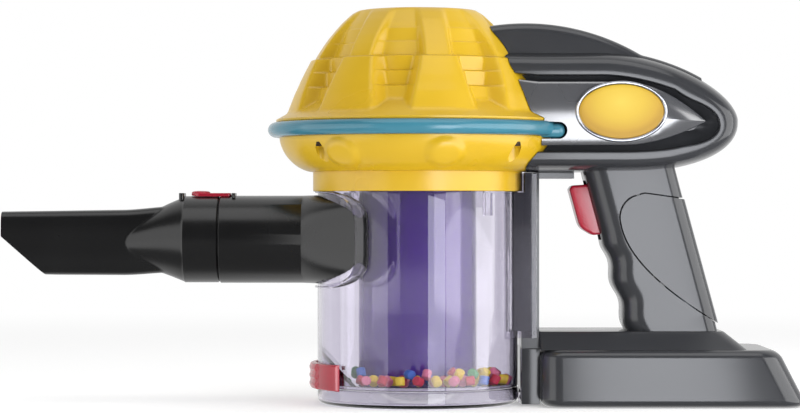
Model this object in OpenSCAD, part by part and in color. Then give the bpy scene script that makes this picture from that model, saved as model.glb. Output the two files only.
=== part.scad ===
// Toy hand-held vacuum cleaner with a clear bin, a lobed cyclone head and a crevice tool.
// Millimetres, Z up. The origin is on the floor under the axis of the bin.
// X runs from the tool (minus) to the grip (plus). The toy is the same on both sides of Y = 0.

/* [Bin] */
// outside diameter of the clear bin
bin_d = 85; // [82:0.5:88]
// wall of the clear bin
bin_wall = 1.8; // [1.4:0.1:2.2]
// height of the clear wall
bin_h = 88; // [84:0.5:92]
// height of the hinged base flap
flap_h = 7; // [6:0.5:8.5]
// diameter of the core tube
core_d = 50; // [46:0.5:51]
// wrap of the catch to each side, in degrees
catch_wrap = 41; // [32:1:46]
// diameter of a bead
bead_d = 3.9; // [3.4:0.1:4.8]

/* [Cyclone head] */
// diameter over the trim ring
ring_d = 127; // [125:0.5:131]
// thickness of the trim ring
ring_t = 6.2; // [5.4:0.2:7]
// height of the skirt round the bin
skirt_h = 8.2; // [7.4:0.2:9]
// height of the bowl
bowl_h = 14.6; // [13.6:0.2:16]
// number of lobes on the cover
lobes = 8; // [7:1:9]

/* [Inlet and crevice tool] */
// diameter of the inlet pipe
pipe_d = 37; // [35:0.5:38]
// height of the pipe's axis
pipe_z = 69.2; // [66:0.2:69.4]
// from the bin axis to the joint with the tool
pipe_reach = 83.9; // [80:0.5:90]
// length of the crevice tool from that joint
tool_l = 93.5; // [84:0.5:104]
// height of the tool's blade
blade_h = 26.6; // [24:0.2:29]
// thickness of the tool's blade
blade_t = 16; // [13:0.5:19]

/* [Housing] */
// height of the housing
housing_h = 50.6; // [49:0.2:53]
// from the bin axis to the rear nose
housing_reach = 134.5; // [130:0.5:140]
// width of the housing over its flat sides
housing_w = 56; // [52:1:60]
// wall of the moulded shells
shell_wall = 2; // [1.6:0.1:2.2]
// width of the spine cap
spine_w = 38; // [32:1:42]

/* [Grip and base] */
// lean of the grip, in degrees
lean = 15.2; // [14:0.2:16.4]
// width of the grip
grip_w = 33.4; // [33.2:0.2:36]
// pull of the trigger
trigger_pull = 4.5; // [3:0.1:5]
// height of the plinth
plinth_h = 7.4; // [6:0.2:8.4]
// height of the pack
pack_h = 23.5; // [21:0.5:24.5]
// width of the pack
pack_w = 64; // [60:1:70]
// length of the pack at its foot
pack_l = 111; // [106:1:118]

/* [Hidden] */
$fn = 96;
gap = 0.3;
run_fit = 0.06;
seat = 0.1;
eps = 0.01;

yellow = "#e8b52e";
teal = "#4a8494";
black = "#262626";
red = "#b01e2c";
grey = "#4e4e50";
purple = "#553687";
clear = [0.86, 0.88, 0.92, 0.35];
metal = "#b9bcc0";

// levels, from the floor up
bin_r = bin_d / 2;
bin_ri = bin_r - bin_wall;
bin_z0 = flap_h + gap;
bin_z1 = bin_z0 + bin_h;
floor_t = 1.7;
floor_z1 = bin_z0 + floor_t;
skirt_lap = 5.8;
skirt_z0 = bin_z1 - skirt_lap;
bowl_z0 = skirt_z0 + skirt_h;
bowl_z1 = bowl_z0 + bowl_h;
ring_z = bowl_z1 + seat + ring_t / 2;
cover_z0 = ring_z + ring_t / 2 + seat;
cover_h = 47.3;
cover_z1 = cover_z0 + cover_h;
plinth_z0 = pack_h;
plinth_z1 = pack_h + plinth_h;

// cyclone head radii
skirt_ri = bin_r + gap;
skirt_r = skirt_ri + 1.6;
ring_major = ring_d / 2 - ring_t / 2;
bowl_r = ring_major - 1.8;
bowl_n = 1.75;
bowl_wall = 2;
neck_r = ring_major - ring_t / 2 - gap;
neck_ri = neck_r - bowl_wall;
flange_r = ring_major - 0.4;
bowl_screw_r = bowl_r - 2.9;
lobe_turn = 11;
screen_t = 1.5;
screen_z0 = bin_z1 - 4.5;
core_r = core_d / 2;
core_wall = 1.6;

// motor and impeller
motor_r = 12;
motor_h = 26;
shaft_r = 1;
mount_t = 2;
mount_slot_r = 20;
mount_z1 = cover_z0 - 3;
impeller_r = neck_ri - 19;
impeller_z0 = bowl_z0 + 4;
impeller_h = 7;
blades = 9;

// lobes of the cover, heights from its foot
lobe_step = 26.4;
lobe_tilt = 14.1;
lobe_cone = 10;
lobe_foot_r = 41;
lobe_foot_z = 4.5;
lobe_foot_half = 13;
crown_x = -9.8;
crown_z = 1.3;
crown_r = 51.4;
crown_tube = 6.5;
crown_from = 22;
crown_to = 52;

// pipe, spigot and tool
pipe_r = pipe_d / 2;
spigot_l = 14;
spigot_r = pipe_r - 2.3;
bore_r = spigot_r - 1.8;
flare_x = -bin_r - 6.5;
mouth_y = bin_r - 8.2;
mouth_z = pipe_r + 0.8;
flare_end_x = -sqrt(pow(bin_r + 0.2, 2) - pow(mouth_y + 1.2, 2));
rim_y = mouth_y + 3.1;
rim_z = pipe_r + 1.2;
rim_t = 1.1;
seam_x = -pipe_reach;
collar_l = 14.7;
collar_r = pipe_r - 0.2;
collar_x = seam_x - gap - collar_l;
tip_x = seam_x - tool_l;
tool_wall = 1.8;
lip_slope = 1.2;
tip_drop = 1.5;
pad_half = 6;
pad_l = 16.8;
tongue_l = 7;
pad_top = pipe_r + 1.1;
latch_half = 4;
latch_l = 14.2;
latch_travel = 2.5;
latch_x1 = seam_x + 2.1;
pocket_z = pipe_r + 0.1;
pad_z0 = collar_r - 2.7;

// hinge of the flap and rocker of the catch
pin_r = 1;
hinge_x = bin_r + 2.9;
hinge_z = 2.6;
knuckle_r = 2.4;
knuckle_half = 7;
pin_half = 13;
catch_z0 = flap_h - 0.6;
catch_h = 11;
catch_ri = bin_r + 0.7;
catch_r = catch_ri + 1.8;
catch_pin_x = -(bin_ri - 2.9);
catch_pin_z = catch_z0 + 5.6;
tab_half = 16;
tab_out = 1.4;
arm_half = 5;
arm_r = 2.5;
ear_t = 2;
ramp_t = 1.6;
ramp_run = 15.6;
ramp_x = -(bin_ri - ramp_run);

// rear column, hinge block, plinth and pack
column_x = bin_r + 8.3;
column_half = 15.5;
rail_t = 1.8;
rail_x = column_x - 1.2;
rail_z0 = plinth_z1 - 2.8;
tongue_x = column_x + 15;
housing_z0 = bowl_z0 - 0.1;
tongue_t = 2.7;
pack_x0 = column_x + 0.2;
pack_half = pack_w / 2;
pack_foot_x = pack_x0 + pack_l;
pack_top_x = pack_foot_x - 12;
plinth_top_x = pack_top_x - 22;
plinth_foot_x = pack_top_x - 13;
plinth_half_top = grip_w / 2 + 2;
plinth_half_foot = min(pack_half - 4, 27);
pack_lean = 1.5;
base_inset = 6;
base_t = 2;

// housing outline
nose_z = housing_z0 + 21.4;
housing_z1 = housing_z0 + housing_h;
low_x = housing_reach - 49.5;
high_x = housing_reach - 57.5;
low_n = 2.3;
high_n = 1.7;
front_x = 12;
edge_in = 10;
flank_n = 3.2;
spine_r = 95;
spine_cx = 45;
spine_cz = housing_z1 + 11.7 - spine_r;
spine_round = 4;
spine_depth = 22;
spine_a0 = 52;
spine_a1 = 108;
half_w = housing_w / 2;
panel_in = 13.2;
panel_deep = 1;
panel_out = 2.4;
badge_rx = 17.6;
badge_rz = 11.2;
badge_rim = 1.5;
badge_x = ring_d / 2 + badge_rx + badge_rim + 1.4;
badge_z = nose_z + 3.4;

// grip, in its own leaning frame: u to the rear, v up along the lean
grip_x = pack_x0 + 36.8;
grip_l = (housing_z0 - plinth_z1) / cos(lean);
grip_half = grip_w / 2;
grip_wall = 1.9;
grip_u1 = 36.8;
grip_taper = 0.01;
grip_sink = 5;
front_round = 9.5;
rear_round = 5;
wave_pitch = 17.4;
wave_first = 3.7;
cover_u = 38;
cover_wall = 1.7;
seam_top = 53.7;
trig_v1 = grip_l - 5.4;
trig_h = 21.8;
trig_out = 7.4;
trig_half = 8;
flange_t = 1.8;
flange_u = grip_wall + 1;
cell_r = 7.25;
cell_l = 50.5;
cell_u = 27.45;
tray_v0 = -4.2;
tray_t = 1.5;
contact_h = 4;
cell_v0 = tray_v0 + tray_t + contact_h;
tray_u0 = 18.6;
switch_u = flange_u + flange_t + trigger_pull + 0.8;
tray_half = grip_half - grip_wall - 0.2;
shelf_half = tray_half - 2.6;
screw_r = 1.25;
screw_head_r = 2.6;
boss_r = 3.6;

// points of a superellipse arc in the plane, angles a0 to a1
function arc_se(c, r, n, a0, a1, steps) = [
    for (i = [0:steps])
        let (a = a0 + (a1 - a0) * i / steps)
            c + [r.x * sign(cos(a)) * pow(abs(cos(a)), 2 / n), r.y * sign(sin(a)) * pow(abs(sin(a)), 2 / n)]
];
function rev(p) = [for (i = [len(p) - 1:-1:0]) p[i]];
function clamp(x, lo, hi) = min(max(x, lo), hi);
function flat(l) = [for (a = l) for (b = a) b];

// side outline of the housing, counter-clockwise from the front of its underside
function housing_outline() = concat(
    [[front_x, housing_z0]],
    arc_se([low_x, nose_z], [housing_reach - low_x, nose_z - housing_z0], low_n, -90, 0, 12),
    [for (i = [1:14]) arc_se([high_x, nose_z], [housing_reach - high_x, housing_z1 - nose_z],
        high_n, 0, 90, 14)[i]],
    [[front_x, housing_z1]]
);
// a point of that outline moved in by d
function moved_in(p, d) =
    let (c = [clamp(p.x, 45, housing_reach - 28), nose_z], s = c - p)
        p + s * (d / norm(s));

// one half of the housing, or with hollow = false a solid half
module housing_half(hollow) {
    p = housing_outline();
    n = len(p);
    steps = 7;
    flank = [for (k = [0:steps]) let (a = 90 * k / steps)
        [1 - pow(cos(a), 2 / flank_n), pow(sin(a), 2 / flank_n)]];
    outer = [for (f = flank) [for (q = p) let (m = moved_in(q, edge_in * f.x)) [m.x, half_w * f.y, m.y]]];
    inner = [for (f = flank) [
        for (q = p) let (m = moved_in(q, shell_wall + (edge_in - shell_wall / 2) * f.x))
            [m.x, (half_w - shell_wall) * f.y, m.y]]];
    o = n * (steps + 1);
    walls = flat([for (k = [0:steps - 1]) [for (i = [0:n - 1]) let (j = (i + 1) % n)
        [k * n + i, k * n + j, (k + 1) * n + j, (k + 1) * n + i]]]);
    cap = [[for (i = [0:n - 1]) steps * n + i]];
    if (hollow) {
        lining = [for (f = concat(walls, cap)) rev([for (v = f) v + o])];
        rim = [for (i = [0:n - 1]) let (j = (i + 1) % n) [i, o + i, o + j, j]];
        polyhedron(points = concat(flat(outer), flat(inner)), faces = concat(walls, cap, lining, rim));
    } else {
        polyhedron(points = flat(outer), faces = concat(walls, cap, [[for (i = [n - 1:-1:0]) i]]));
    }
}

// room that the cyclone head takes, with clearance c
module head_room(c) {
    rotate_extrude()
        polygon(concat(
            [[0, skirt_z0 - 1], [skirt_r + c, skirt_z0 - 1]],
            arc_se([skirt_r, bowl_z1], [bowl_r - skirt_r + c, bowl_h + c], bowl_n, -90, 0, 10),
            [[ring_d / 2 + c, bowl_z1], [ring_d / 2 + c, cover_z0 + c]],
            [[flange_r + c, cover_z0 + 1.3 + c]],
            [[lobe_foot_r + lobe_foot_half + 1 + c, cover_z0 + lobe_foot_z]],
            [[45 + c, cover_z0 + lobe_step + c]],
            [for (i = [0:5]) let (a = 27 + 4.6 * i, r = crown_r + crown_tube + c)
                [crown_x + r * cos(a), cover_z0 + crown_z + r * sin(a)]],
            [[24, cover_z1 + 1], [0, cover_z1 + 1]]
        ));
}

// leaning frame of the grip
module in_grip() {
    translate([grip_x, 0, plinth_z1])
        rotate([0, -lean, 0])
            children();
}
// a flat shape in the u, v plane, extruded to both sides
module side_plate(half) {
    rotate([90, 0, 0])
        linear_extrude(2 * half, center = true)
            children();
}
function wave(v) = v < 40 ? 0.35 - 0.85 * cos(360 * (v - wave_first) / wave_pitch) : 0;
function rear_u(v) = grip_u1 + grip_taper * v;
// half outline of a section through the grip, from its front to its rear
function grip_arc(u0, u1, w, rf, rr) = concat(
    [[u0, 0]],
    [for (i = [0:5]) let (a = 180 - 18 * i) [u0 + rf + rf * cos(a), w - rf + rf * sin(a)]],
    [for (i = [0:4]) let (a = 90 - 22.5 * i) [u1 - rr + rr * cos(a), w - rr + rr * sin(a)]],
    [[u1, 0]]
);
// a stack of flat rings, each ring clockwise seen from above
// a strip ring goes out along one side of a wall and back along the other
module ring_stack(rings, strip = false) {
    n = len(rings[0]);
    m = len(rings);
    top = (m - 1) * n;
    walls = flat([for (k = [0:m - 2]) [for (i = [0:n - 1]) let (j = (i + 1) % n)
        [k * n + i, k * n + j, (k + 1) * n + j, (k + 1) * n + i]]]);
    polyhedron(
        points = flat(rings),
        faces = concat(
            walls,
            strip ? [for (i = [0:n / 2 - 2]) [top + i, top + i + 1, top + n - 2 - i, top + n - 1 - i]]
                : [[for (i = [0:n - 1]) top + i]],
            strip ? [for (i = [0:n / 2 - 2]) [n - 1 - i, n - 2 - i, i + 1, i]]
                : [[for (i = [n - 1:-1:0]) i]]
        )
    );
}
module grip_shell() {
    stations = concat([for (v = [-14:3:40]) v], [44, grip_l + 12]);
    ring_stack([for (v = stations) concat(
        [for (p = grip_arc(wave(v), rear_u(v), grip_half, front_round, rear_round)) [p.x, p.y, v]],
        rev([for (p = grip_arc(wave(v) + grip_wall, rear_u(v) - grip_wall, grip_half - grip_wall,
            front_round - grip_wall, rear_round - grip_wall)) [p.x, p.y, v]])
    )], strip = true);
}
// side outline of the battery cover, grown by g
module cover_outline(g) {
    corner = [19 - g, seam_top - 9.5];
    knee = [9.3 - g, 44];
    pull = [7.5 - g, 24 - g];
    foot = [cover_u + 2, -9 - g];
    polygon(concat(
        [[cover_u + 2, 46 + g], [22, seam_top + g]],
        [for (a = [100:16:180]) corner + [(9.7) * cos(a), (9.5 + g) * sin(a)]],
        [for (i = [1:10]) let (t = i / 10) (1 - t) * (1 - t) * knee + 2 * t * (1 - t) * pull + t * t * foot]
    ));
}
module coil(r, wire, height, turns) {
    rings = 10;
    sides = 6;
    m = rings * turns;
    rise = (height - 2 * wire) / m;
    pts = [for (k = [0:m]) let (a = 360 * k / rings) [for (s = [0:sides - 1]) let (b = 60 * s)
        [(r + wire * cos(b)) * cos(a), (r + wire * cos(b)) * sin(a), wire + rise * k + wire * sin(b)]]];
    walls = flat([for (k = [0:m - 1]) [for (s = [0:sides - 1]) let (t = (s + 1) % sides)
        [k * sides + s, (k + 1) * sides + s, (k + 1) * sides + t, k * sides + t]]]);
    polyhedron(
        points = flat(pts),
        faces = concat(walls, [[for (s = [0:sides - 1]) s]],
            [[for (s = [sides - 1:-1:0]) m * sides + s]])
    );
}
module along_x(x, z) {
    translate([x, 0, z])
        rotate([0, 90, 0])
            children();
}
module stadium(half_y, half_z) {
    union() {
        square([2 * half_z, 2 * (half_y - half_z)], center = true);
        for (s = [-1, 1])
            translate([0, s * (half_y - half_z)])
                circle(r = half_z);
    }
}

// crevice tool: stations of its outside and inside, then the mouth
tool_root_r = collar_r - 0.3;
function tool_half_h(x) =
    x > collar_x - 10.6 ? tool_root_r - (tool_root_r - blade_h / 2) * (collar_x - x) / 10.6 : blade_h / 2;
function tool_half_t(x) =
    x > collar_x - 25 ? tool_root_r - (tool_root_r - blade_t / 2) * (collar_x - x) / 25 : blade_t / 2;
function tool_n(x) = x > collar_x - 25 ? 2 + 2.4 * (collar_x - x) / 25 : 4.4;
function lip_x(x, z) = x > tip_x + 1 ? x : tip_x + lip_slope * max(0, 2.2 - z);
// half of the drop of the blade's top at x
function tool_drop(x) = tip_drop / 2 * max(0, collar_x - x) / (collar_x - tip_x);
function tool_ring(x, inset) =
    let (n = tool_n(x), t = tool_half_t(x) - inset, d = tool_drop(x), h = tool_half_h(x) - inset - d)
        [for (i = [0:31]) let (a = 90 - 360 * (i + 0.5) / 32, z = h * sign(sin(a)) * pow(abs(sin(a)), 2 / n))
            [lip_x(x, z), t * sign(cos(a)) * pow(abs(cos(a)), 2 / n), pipe_z + z - d]];
tool_stations = [0.6, 0, -3, -6, -10.6, -15, -20, -25, -40];
module tool_loft(inset, over) {
    xs = concat([for (s = tool_stations) collar_x + s], [tip_x]);
    rings = [for (x = rev(xs)) tool_ring(x, inset)];
    last = len(rings) - 1;
    // the inside runs past both ends of the outside
    ring_stack([for (k = [0:last]) [for (p = rings[k])
        p + [k == 0 ? -over : (k == last ? over : 0), 0, 0]]], strip = true);
}
module crevice_tool() {
    color(black)
        difference() {
            union() {
                along_x(collar_x, pipe_z)
                    cylinder(r = collar_r, h = collar_l);
                tool_loft(0, 0);
                translate([seam_x - gap - pad_l, -pad_half, pipe_z + pad_z0])
                    cube([pad_l, 2 * pad_half, pad_top - pad_z0]);
                translate([seam_x - gap - eps, -pad_half, pipe_z + pipe_r + gap])
                    cube([tongue_l + eps, 2 * pad_half, pad_top - pipe_r - gap]);
            }
            along_x(seam_x - spigot_l - gap, pipe_z)
                cylinder(r = spigot_r + run_fit, h = spigot_l + 1);
            tool_loft(tool_wall + 0.2, 1);
            translate([latch_x1 - latch_l - latch_travel - gap, -latch_half - gap, pipe_z + pocket_z])
                cube([latch_l + latch_travel + 2 * gap, 2 * (latch_half + gap), 10]);
        }
}
module tool_latch() {
    z0 = pipe_z + pocket_z + 0.2;
    color(red) {
        translate([latch_x1 - latch_l, -latch_half, z0])
            cube([latch_l, 2 * latch_half, pad_top - pocket_z - 0.2]);
        translate([latch_x1 - latch_l + latch_half, 0, z0])
            cylinder(r1 = latch_half - 0.1, r2 = latch_half - 0.6, h = pipe_r + 2 - pocket_z - 0.2);
    }
}
module inlet_duct() {
    color(black)
        difference() {
            union() {
                along_x(seam_x - spigot_l, pipe_z)
                    cylinder(r = spigot_r, h = spigot_l + 1);
                along_x(seam_x, pipe_z)
                    cylinder(r = pipe_r, h = flare_x - seam_x + 0.5);
                hull() {
                    along_x(flare_x, pipe_z)
                        cylinder(r = pipe_r, h = 0.1, $fn = 48);
                    along_x(flare_end_x, pipe_z)
                        linear_extrude(0.1)
                            stadium(mouth_y + 1.1, mouth_z, $fn = 48);
                }
            }
            along_x(seam_x - spigot_l - 1, pipe_z)
                cylinder(r = bore_r, h = 80);
            hull() {
                along_x(flare_x + 2, pipe_z)
                    cylinder(r = bore_r, h = 0.1, $fn = 48);
                along_x(flare_end_x, pipe_z)
                    linear_extrude(0.1)
                        stadium(mouth_y - 1.1, mouth_z - 2, $fn = 48);
            }
            translate([0, 0, pipe_z - 50])
                cylinder(r = bin_r + 0.2, h = 100);
        }
}
module bead_guard() {
    color(black)
        along_x(flare_x - 4, pipe_z)
            difference() {
                cylinder(r = bore_r - 0.05, h = 1.6);
                for (i = [-3:3])
                    translate([i * 3.6 - 0.9, -sqrt(pow(bore_r - 2.2, 2) - pow(i * 3.6, 2)), -1])
                        cube([1.8, 2 * sqrt(pow(bore_r - 2.2, 2) - pow(i * 3.6, 2)), 4]);
            }
}

module clear_bin() {
    color(clear)
        difference() {
            union() {
                translate([0, 0, bin_z0])
                    cylinder(r = bin_r, h = bin_h);
                for (s = [-1, 1])
                    translate([bin_ri - 5, s > 0 ? column_half + gap : -column_half - gap - rail_t, rail_z0])
                        cube([rail_x - bin_ri + 5, rail_t, bowl_z0 - 0.8 - rail_z0]);
                // rim beside the mouth of the duct
                intersection() {
                    translate([0, 0, pipe_z - 40])
                        cylinder(r = bin_r + rim_t, h = 80);
                    along_x(-bin_r - 4, pipe_z)
                        linear_extrude(bin_r)
                            difference() {
                                stadium(rim_y, rim_z);
                                stadium(mouth_y + 0.4, mouth_z + 0.3);
                            }
                }
            }
            translate([0, 0, bin_z0 - 1])
                difference() {
                    cylinder(r = bin_ri, h = bin_h + 20);
                    for (a = [45:90:315])
                        rotate(a)
                            translate([bin_ri - 1.6, -2.4, bin_h - 15])
                                cube([4, 4.8, 9.4]);
                }
            translate([0, 0, bin_z1 - skirt_lap - gap])
                difference() {
                    cylinder(r = skirt_r + gap, h = 30);
                    translate([0, 0, -1])
                        cylinder(r = bin_r, h = 32);
                }
            along_x(-bin_r - 10, pipe_z)
                cylinder(r = bore_r, h = 30);
            // window for the arm of the catch
            translate([-bin_r - 2, -arm_half - 0.5, catch_pin_z - 4])
                cube([8, 2 * arm_half + 1, 8]);
        }
}
module bin_floor() {
    color(clear)
        translate([0, 0, bin_z0])
            cylinder(r = bin_ri - 0.05, h = floor_t);
}
module catch_ramp() {
    color(clear)
        difference() {
            intersection() {
                translate([0, 0, floor_z1])
                    cylinder(r = bin_ri - seat, h = 40);
                union() {
                    translate([ramp_x, 0, floor_z1])
                        rotate([0, 45, 0])
                            translate([-60, -60, -ramp_t])
                                cube([120, 120, ramp_t]);
                    // ears for the rocker's pin
                    for (s = [-1, 1])
                        translate([-bin_ri, s > 0 ? arm_half + gap : -arm_half - gap - ear_t, floor_z1])
                            difference() {
                                cube([ramp_run, ear_t, ramp_run]);
                                translate([ramp_run, -1, 0])
                                    rotate([0, 45, 0])
                                        translate([-60, 0, -ramp_t / 2])
                                            cube([120, ear_t + 2, 60]);
                            }
                }
            }
            translate([0, 0, floor_z1 - 1])
                cylinder(r = core_r + seat, h = 60);
            translate([catch_pin_x, 0, catch_pin_z])
                rotate([90, 0, 0])
                    cylinder(r = pin_r + 0.02, h = 60, center = true);
        }
}
module cyclone_core() {
    color(purple)
        translate([0, 0, floor_z1])
            difference() {
                cylinder(r = core_r, h = screen_z0 - floor_z1);
                translate([0, 0, -1])
                    cylinder(r = core_r - core_wall, h = bin_h);
            }
}
module bead_screen() {
    slots = 36;
    color(black)
        translate([0, 0, screen_z0])
            difference() {
                cylinder(r = bin_ri - 0.2, h = screen_t);
                for (i = [0:slots - 1])
                    rotate(360 * i / slots)
                        translate([core_r + 2.5, -0.9, -1])
                            cube([bin_ri - core_r - 6, 1.8, screen_t + 2]);
                translate([0, 0, -1])
                    cylinder(r = core_r - 6, h = screen_t + 2);
            }
}
// beads lie in rings round the core, layer on layer, clear of the ramp
bead_ball = bead_d * 0.62;
bead_heap = 0.4;
bead_r1 = core_r + 0.4 + bead_ball;
bead_r2 = bin_ri - 0.4 - bead_ball;
bead_n = floor(2 * PI * bead_r1 / (2 * bead_ball + 0.5));
bead_rings = 1 + max(0, floor((bead_r2 - bead_r1) / (2 * bead_ball + 0.1)));
bead_step = bead_rings > 1 ? (bead_r2 - bead_r1) / (bead_rings - 1) : 0;
// a bead in a groove lies on the four round it
function groove_rise(r) =
    let (side = PI * r / bead_n, reach = sqrt(side * side + bead_step * bead_step / 4))
        sqrt(max(0, pow(2 * bead_ball + 0.1, 2) - reach * reach));
// radius, height over the floor layer, turn in steps and share of places taken
bead_layers = concat(
    [for (k = [0:bead_rings - 1]) [bead_r1 + k * bead_step, 0, 0, 1]],
    [for (k = [0:1:bead_rings - 2]) let (r = bead_r1 + k * bead_step)
        [r + bead_step / 2, groove_rise(r), 0.5, bead_heap]]
);
// colour of each bead, in turns of nine
bead_turn = [0, 2, 1, 0, 4, 2, 0, 3, 1];
bead_pick = rands(0, 1, 400, 7);
bead_spin = rands(0, 180, 1200, 5);
module beads(tint, shade) {
    color(shade)
        for (l = [0:len(bead_layers) - 1])
            for (i = [0:bead_n - 1])
                let (row = bead_layers[l], k = l * bead_n + i, a = 360 * (i + row[2]) / bead_n,
                    x = row[0] * cos(a), y = row[0] * sin(a))
                    if (x - ramp_x + bead_ball + row[1] > 1.42 * (bead_ball + 0.3)
                            && bead_pick[k] < row[3] && bead_turn[(k * 7 + floor(k / 4)) % 9] == tint)
                        translate([x, y, floor_z1 + 0.1 + bead_ball + row[1]])
                            rotate([bead_spin[3 * k], bead_spin[3 * k + 1], bead_spin[3 * k + 2]])
                                intersection() {
                                    cylinder(r = bead_d / 2, h = bead_d * 0.92, center = true, $fn = 24);
                                    sphere(r = bead_ball, $fn = 24);
                                }
}

module bin_flap() {
    rim = 1.6;
    color(clear)
        difference() {
            union() {
                rotate_extrude()
                    polygon([[0, 0], [bin_r - 1.6, 0], [bin_r - 0.5, 0.5], [bin_r, 1.6], [bin_r, flap_h],
                        [bin_r - rim, flap_h], [bin_r - rim, rim], [0, rim]]);
                translate([hinge_x, 0, hinge_z])
                    rotate([90, 0, 0])
                        cylinder(r = knuckle_r, h = 2 * knuckle_half, center = true);
                translate([bin_r - rim - 0.4, -knuckle_half, hinge_z - knuckle_r])
                    cube([hinge_x - bin_r + rim + 0.4, 2 * knuckle_half, 2 * knuckle_r]);
            }
            translate([hinge_x, 0, hinge_z])
                rotate([90, 0, 0])
                    cylinder(r = pin_r + run_fit, h = 40, center = true);
        }
}
module flap_pin() {
    color(metal)
        translate([hinge_x, 0, hinge_z])
            rotate([90, 0, 0])
                cylinder(r = pin_r, h = 2 * pin_half, center = true);
}
module catch_sector(r, half_angle) {
    polygon(concat([[0, 0]], [for (i = [0:8]) let (a = 180 - half_angle + half_angle * i / 4)
        [r * cos(a), r * sin(a)]]));
}
module bin_catch() {
    color(red)
        difference() {
            union() {
                intersection() {
                    translate([0, 0, catch_z0])
                        difference() {
                            cylinder(r = catch_r, h = catch_h);
                            translate([0, 0, -1])
                                cylinder(r = catch_ri, h = catch_h + 2);
                        }
                    translate([0, 0, catch_z0 - 1])
                        linear_extrude(catch_h + 2)
                            catch_sector(catch_r + 6, catch_wrap);
                }
                // thumb tab with three ridges
                intersection() {
                    translate([0, 0, catch_z0])
                        difference() {
                            union() {
                                cylinder(r = catch_r + tab_out - 0.8, h = catch_h);
                                for (i = [0:2])
                                    translate([0, 0, 1.2 + i * 3.4])
                                        cylinder(r = catch_r + tab_out, h = 1.8);
                            }
                            translate([0, 0, -1])
                                cylinder(r = catch_ri, h = catch_h + 2);
                        }
                    translate([-bin_r - 20, -tab_half, catch_z0 - 1])
                        cube([bin_r, 2 * tab_half, catch_h + 2]);
                }
                // arm to the rocker's pin
                translate([-catch_r + 0.4, -arm_half, catch_pin_z - arm_r])
                    cube([catch_r - 0.4 + catch_pin_x, 2 * arm_half, 2 * arm_r]);
                translate([catch_pin_x, 0, catch_pin_z])
                    rotate([90, 0, 0])
                        cylinder(r = arm_r, h = 2 * arm_half, center = true);
            }
            translate([catch_pin_x, 0, catch_pin_z])
                rotate([90, 0, 0])
                    cylinder(r = pin_r + run_fit, h = 40, center = true);
        }
}
module catch_pin() {
    color(metal)
        translate([catch_pin_x, 0, catch_pin_z])
            rotate([90, 0, 0])
                cylinder(r = pin_r, h = 2 * (arm_half + gap + ear_t), center = true);
}
module catch_spring() {
    z = catch_pin_z + 1.2;
    x0 = catch_pin_x + arm_r + seat;
    x1 = ramp_x - ramp_t * 1.42 - (z - floor_z1) - 1.6;
    color(metal)
        translate([x0, 0, z])
            rotate([0, 90, 0])
                coil(1.2, 0.25, x1 - x0, 3);
}

module cyclone_bowl() {
    outer = arc_se([skirt_r, bowl_z1], [bowl_r - skirt_r, bowl_h], bowl_n, -90, 0, 12);
    inner = arc_se([skirt_ri, bowl_z1], [bowl_r - bowl_wall - skirt_ri, bowl_h - bowl_wall],
        bowl_n, -90, 0, 12);
    wall = concat([[skirt_ri, skirt_z0], [skirt_r, skirt_z0]], outer,
        [[neck_r, bowl_z1], [neck_r, cover_z0], [neck_ri, cover_z0], [neck_ri, bowl_z1]],
        rev([for (i = [0:11]) inner[i]]));
    color(yellow)
        difference() {
            union() {
                rotate_extrude()
                    polygon(wall);
                // shallow bulges under the lobes, where the housing leaves them free
                intersection() {
                    for (i = [0:lobes - 1])
                        let (a = lobe_turn - 90 + i * 360 / lobes)
                            if (cos(a) < 0.6)
                                rotate(a)
                                    translate([bowl_r - 8.9, 0, bowl_z1 - 3])
                                        sphere(r = 9);
                    rotate_extrude()
                        polygon(concat(
                            arc_se([skirt_r, bowl_z1], [bowl_r - skirt_r + 3, bowl_h + 3],
                                bowl_n, -80, -8, 10),
                            rev(arc_se([skirt_r, bowl_z1], [bowl_r - skirt_r - 1, bowl_h - 1],
                                bowl_n, -80, -8, 10))
                        ));
                }
            }
            for (a = [45:90:315])
                rotate(a)
                    translate([bowl_screw_r, 0, 0]) {
                        translate([0, 0, bowl_z0 - 2])
                            cylinder(r = 1.6, h = 40, $fn = 32);
                        translate([0, 0, bowl_z0 - 2])
                            cylinder(r = screw_head_r + 0.2, h = bowl_z1 - 2.6 - bowl_z0 + 2, $fn = 32);
                    }
        }
}
module bowl_screws() {
    color(metal)
        for (a = [45:90:315])
            rotate(a)
                translate([bowl_screw_r, 0, bowl_z1 - 4.4]) {
                    cylinder(r = screw_head_r, h = 1.75, $fn = 32);
                    cylinder(r = screw_r, h = cover_z0 + 2.3 - bowl_z1 + 4.4, $fn = 32);
                }
}
module trim_ring() {
    color(teal)
        difference() {
            translate([0, 0, ring_z])
                rotate_extrude()
                    translate([ring_major, 0])
                        circle(r = ring_t / 2);
            for (a = [45:90:315])
                rotate(a)
                    translate([bowl_screw_r, 0, ring_z])
                        cylinder(r = screw_r + gap, h = 20, center = true, $fn = 32);
        }
}
module cover_valley() {
    rotate_extrude()
        polygon([[0, 0], [flange_r, 0], [flange_r - 0.2, 1.2], [50, 6], [38.5, 27], [27, 43.5],
            [24.6, 46.4], [22.5, cover_h], [0, cover_h]]);
}
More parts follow.
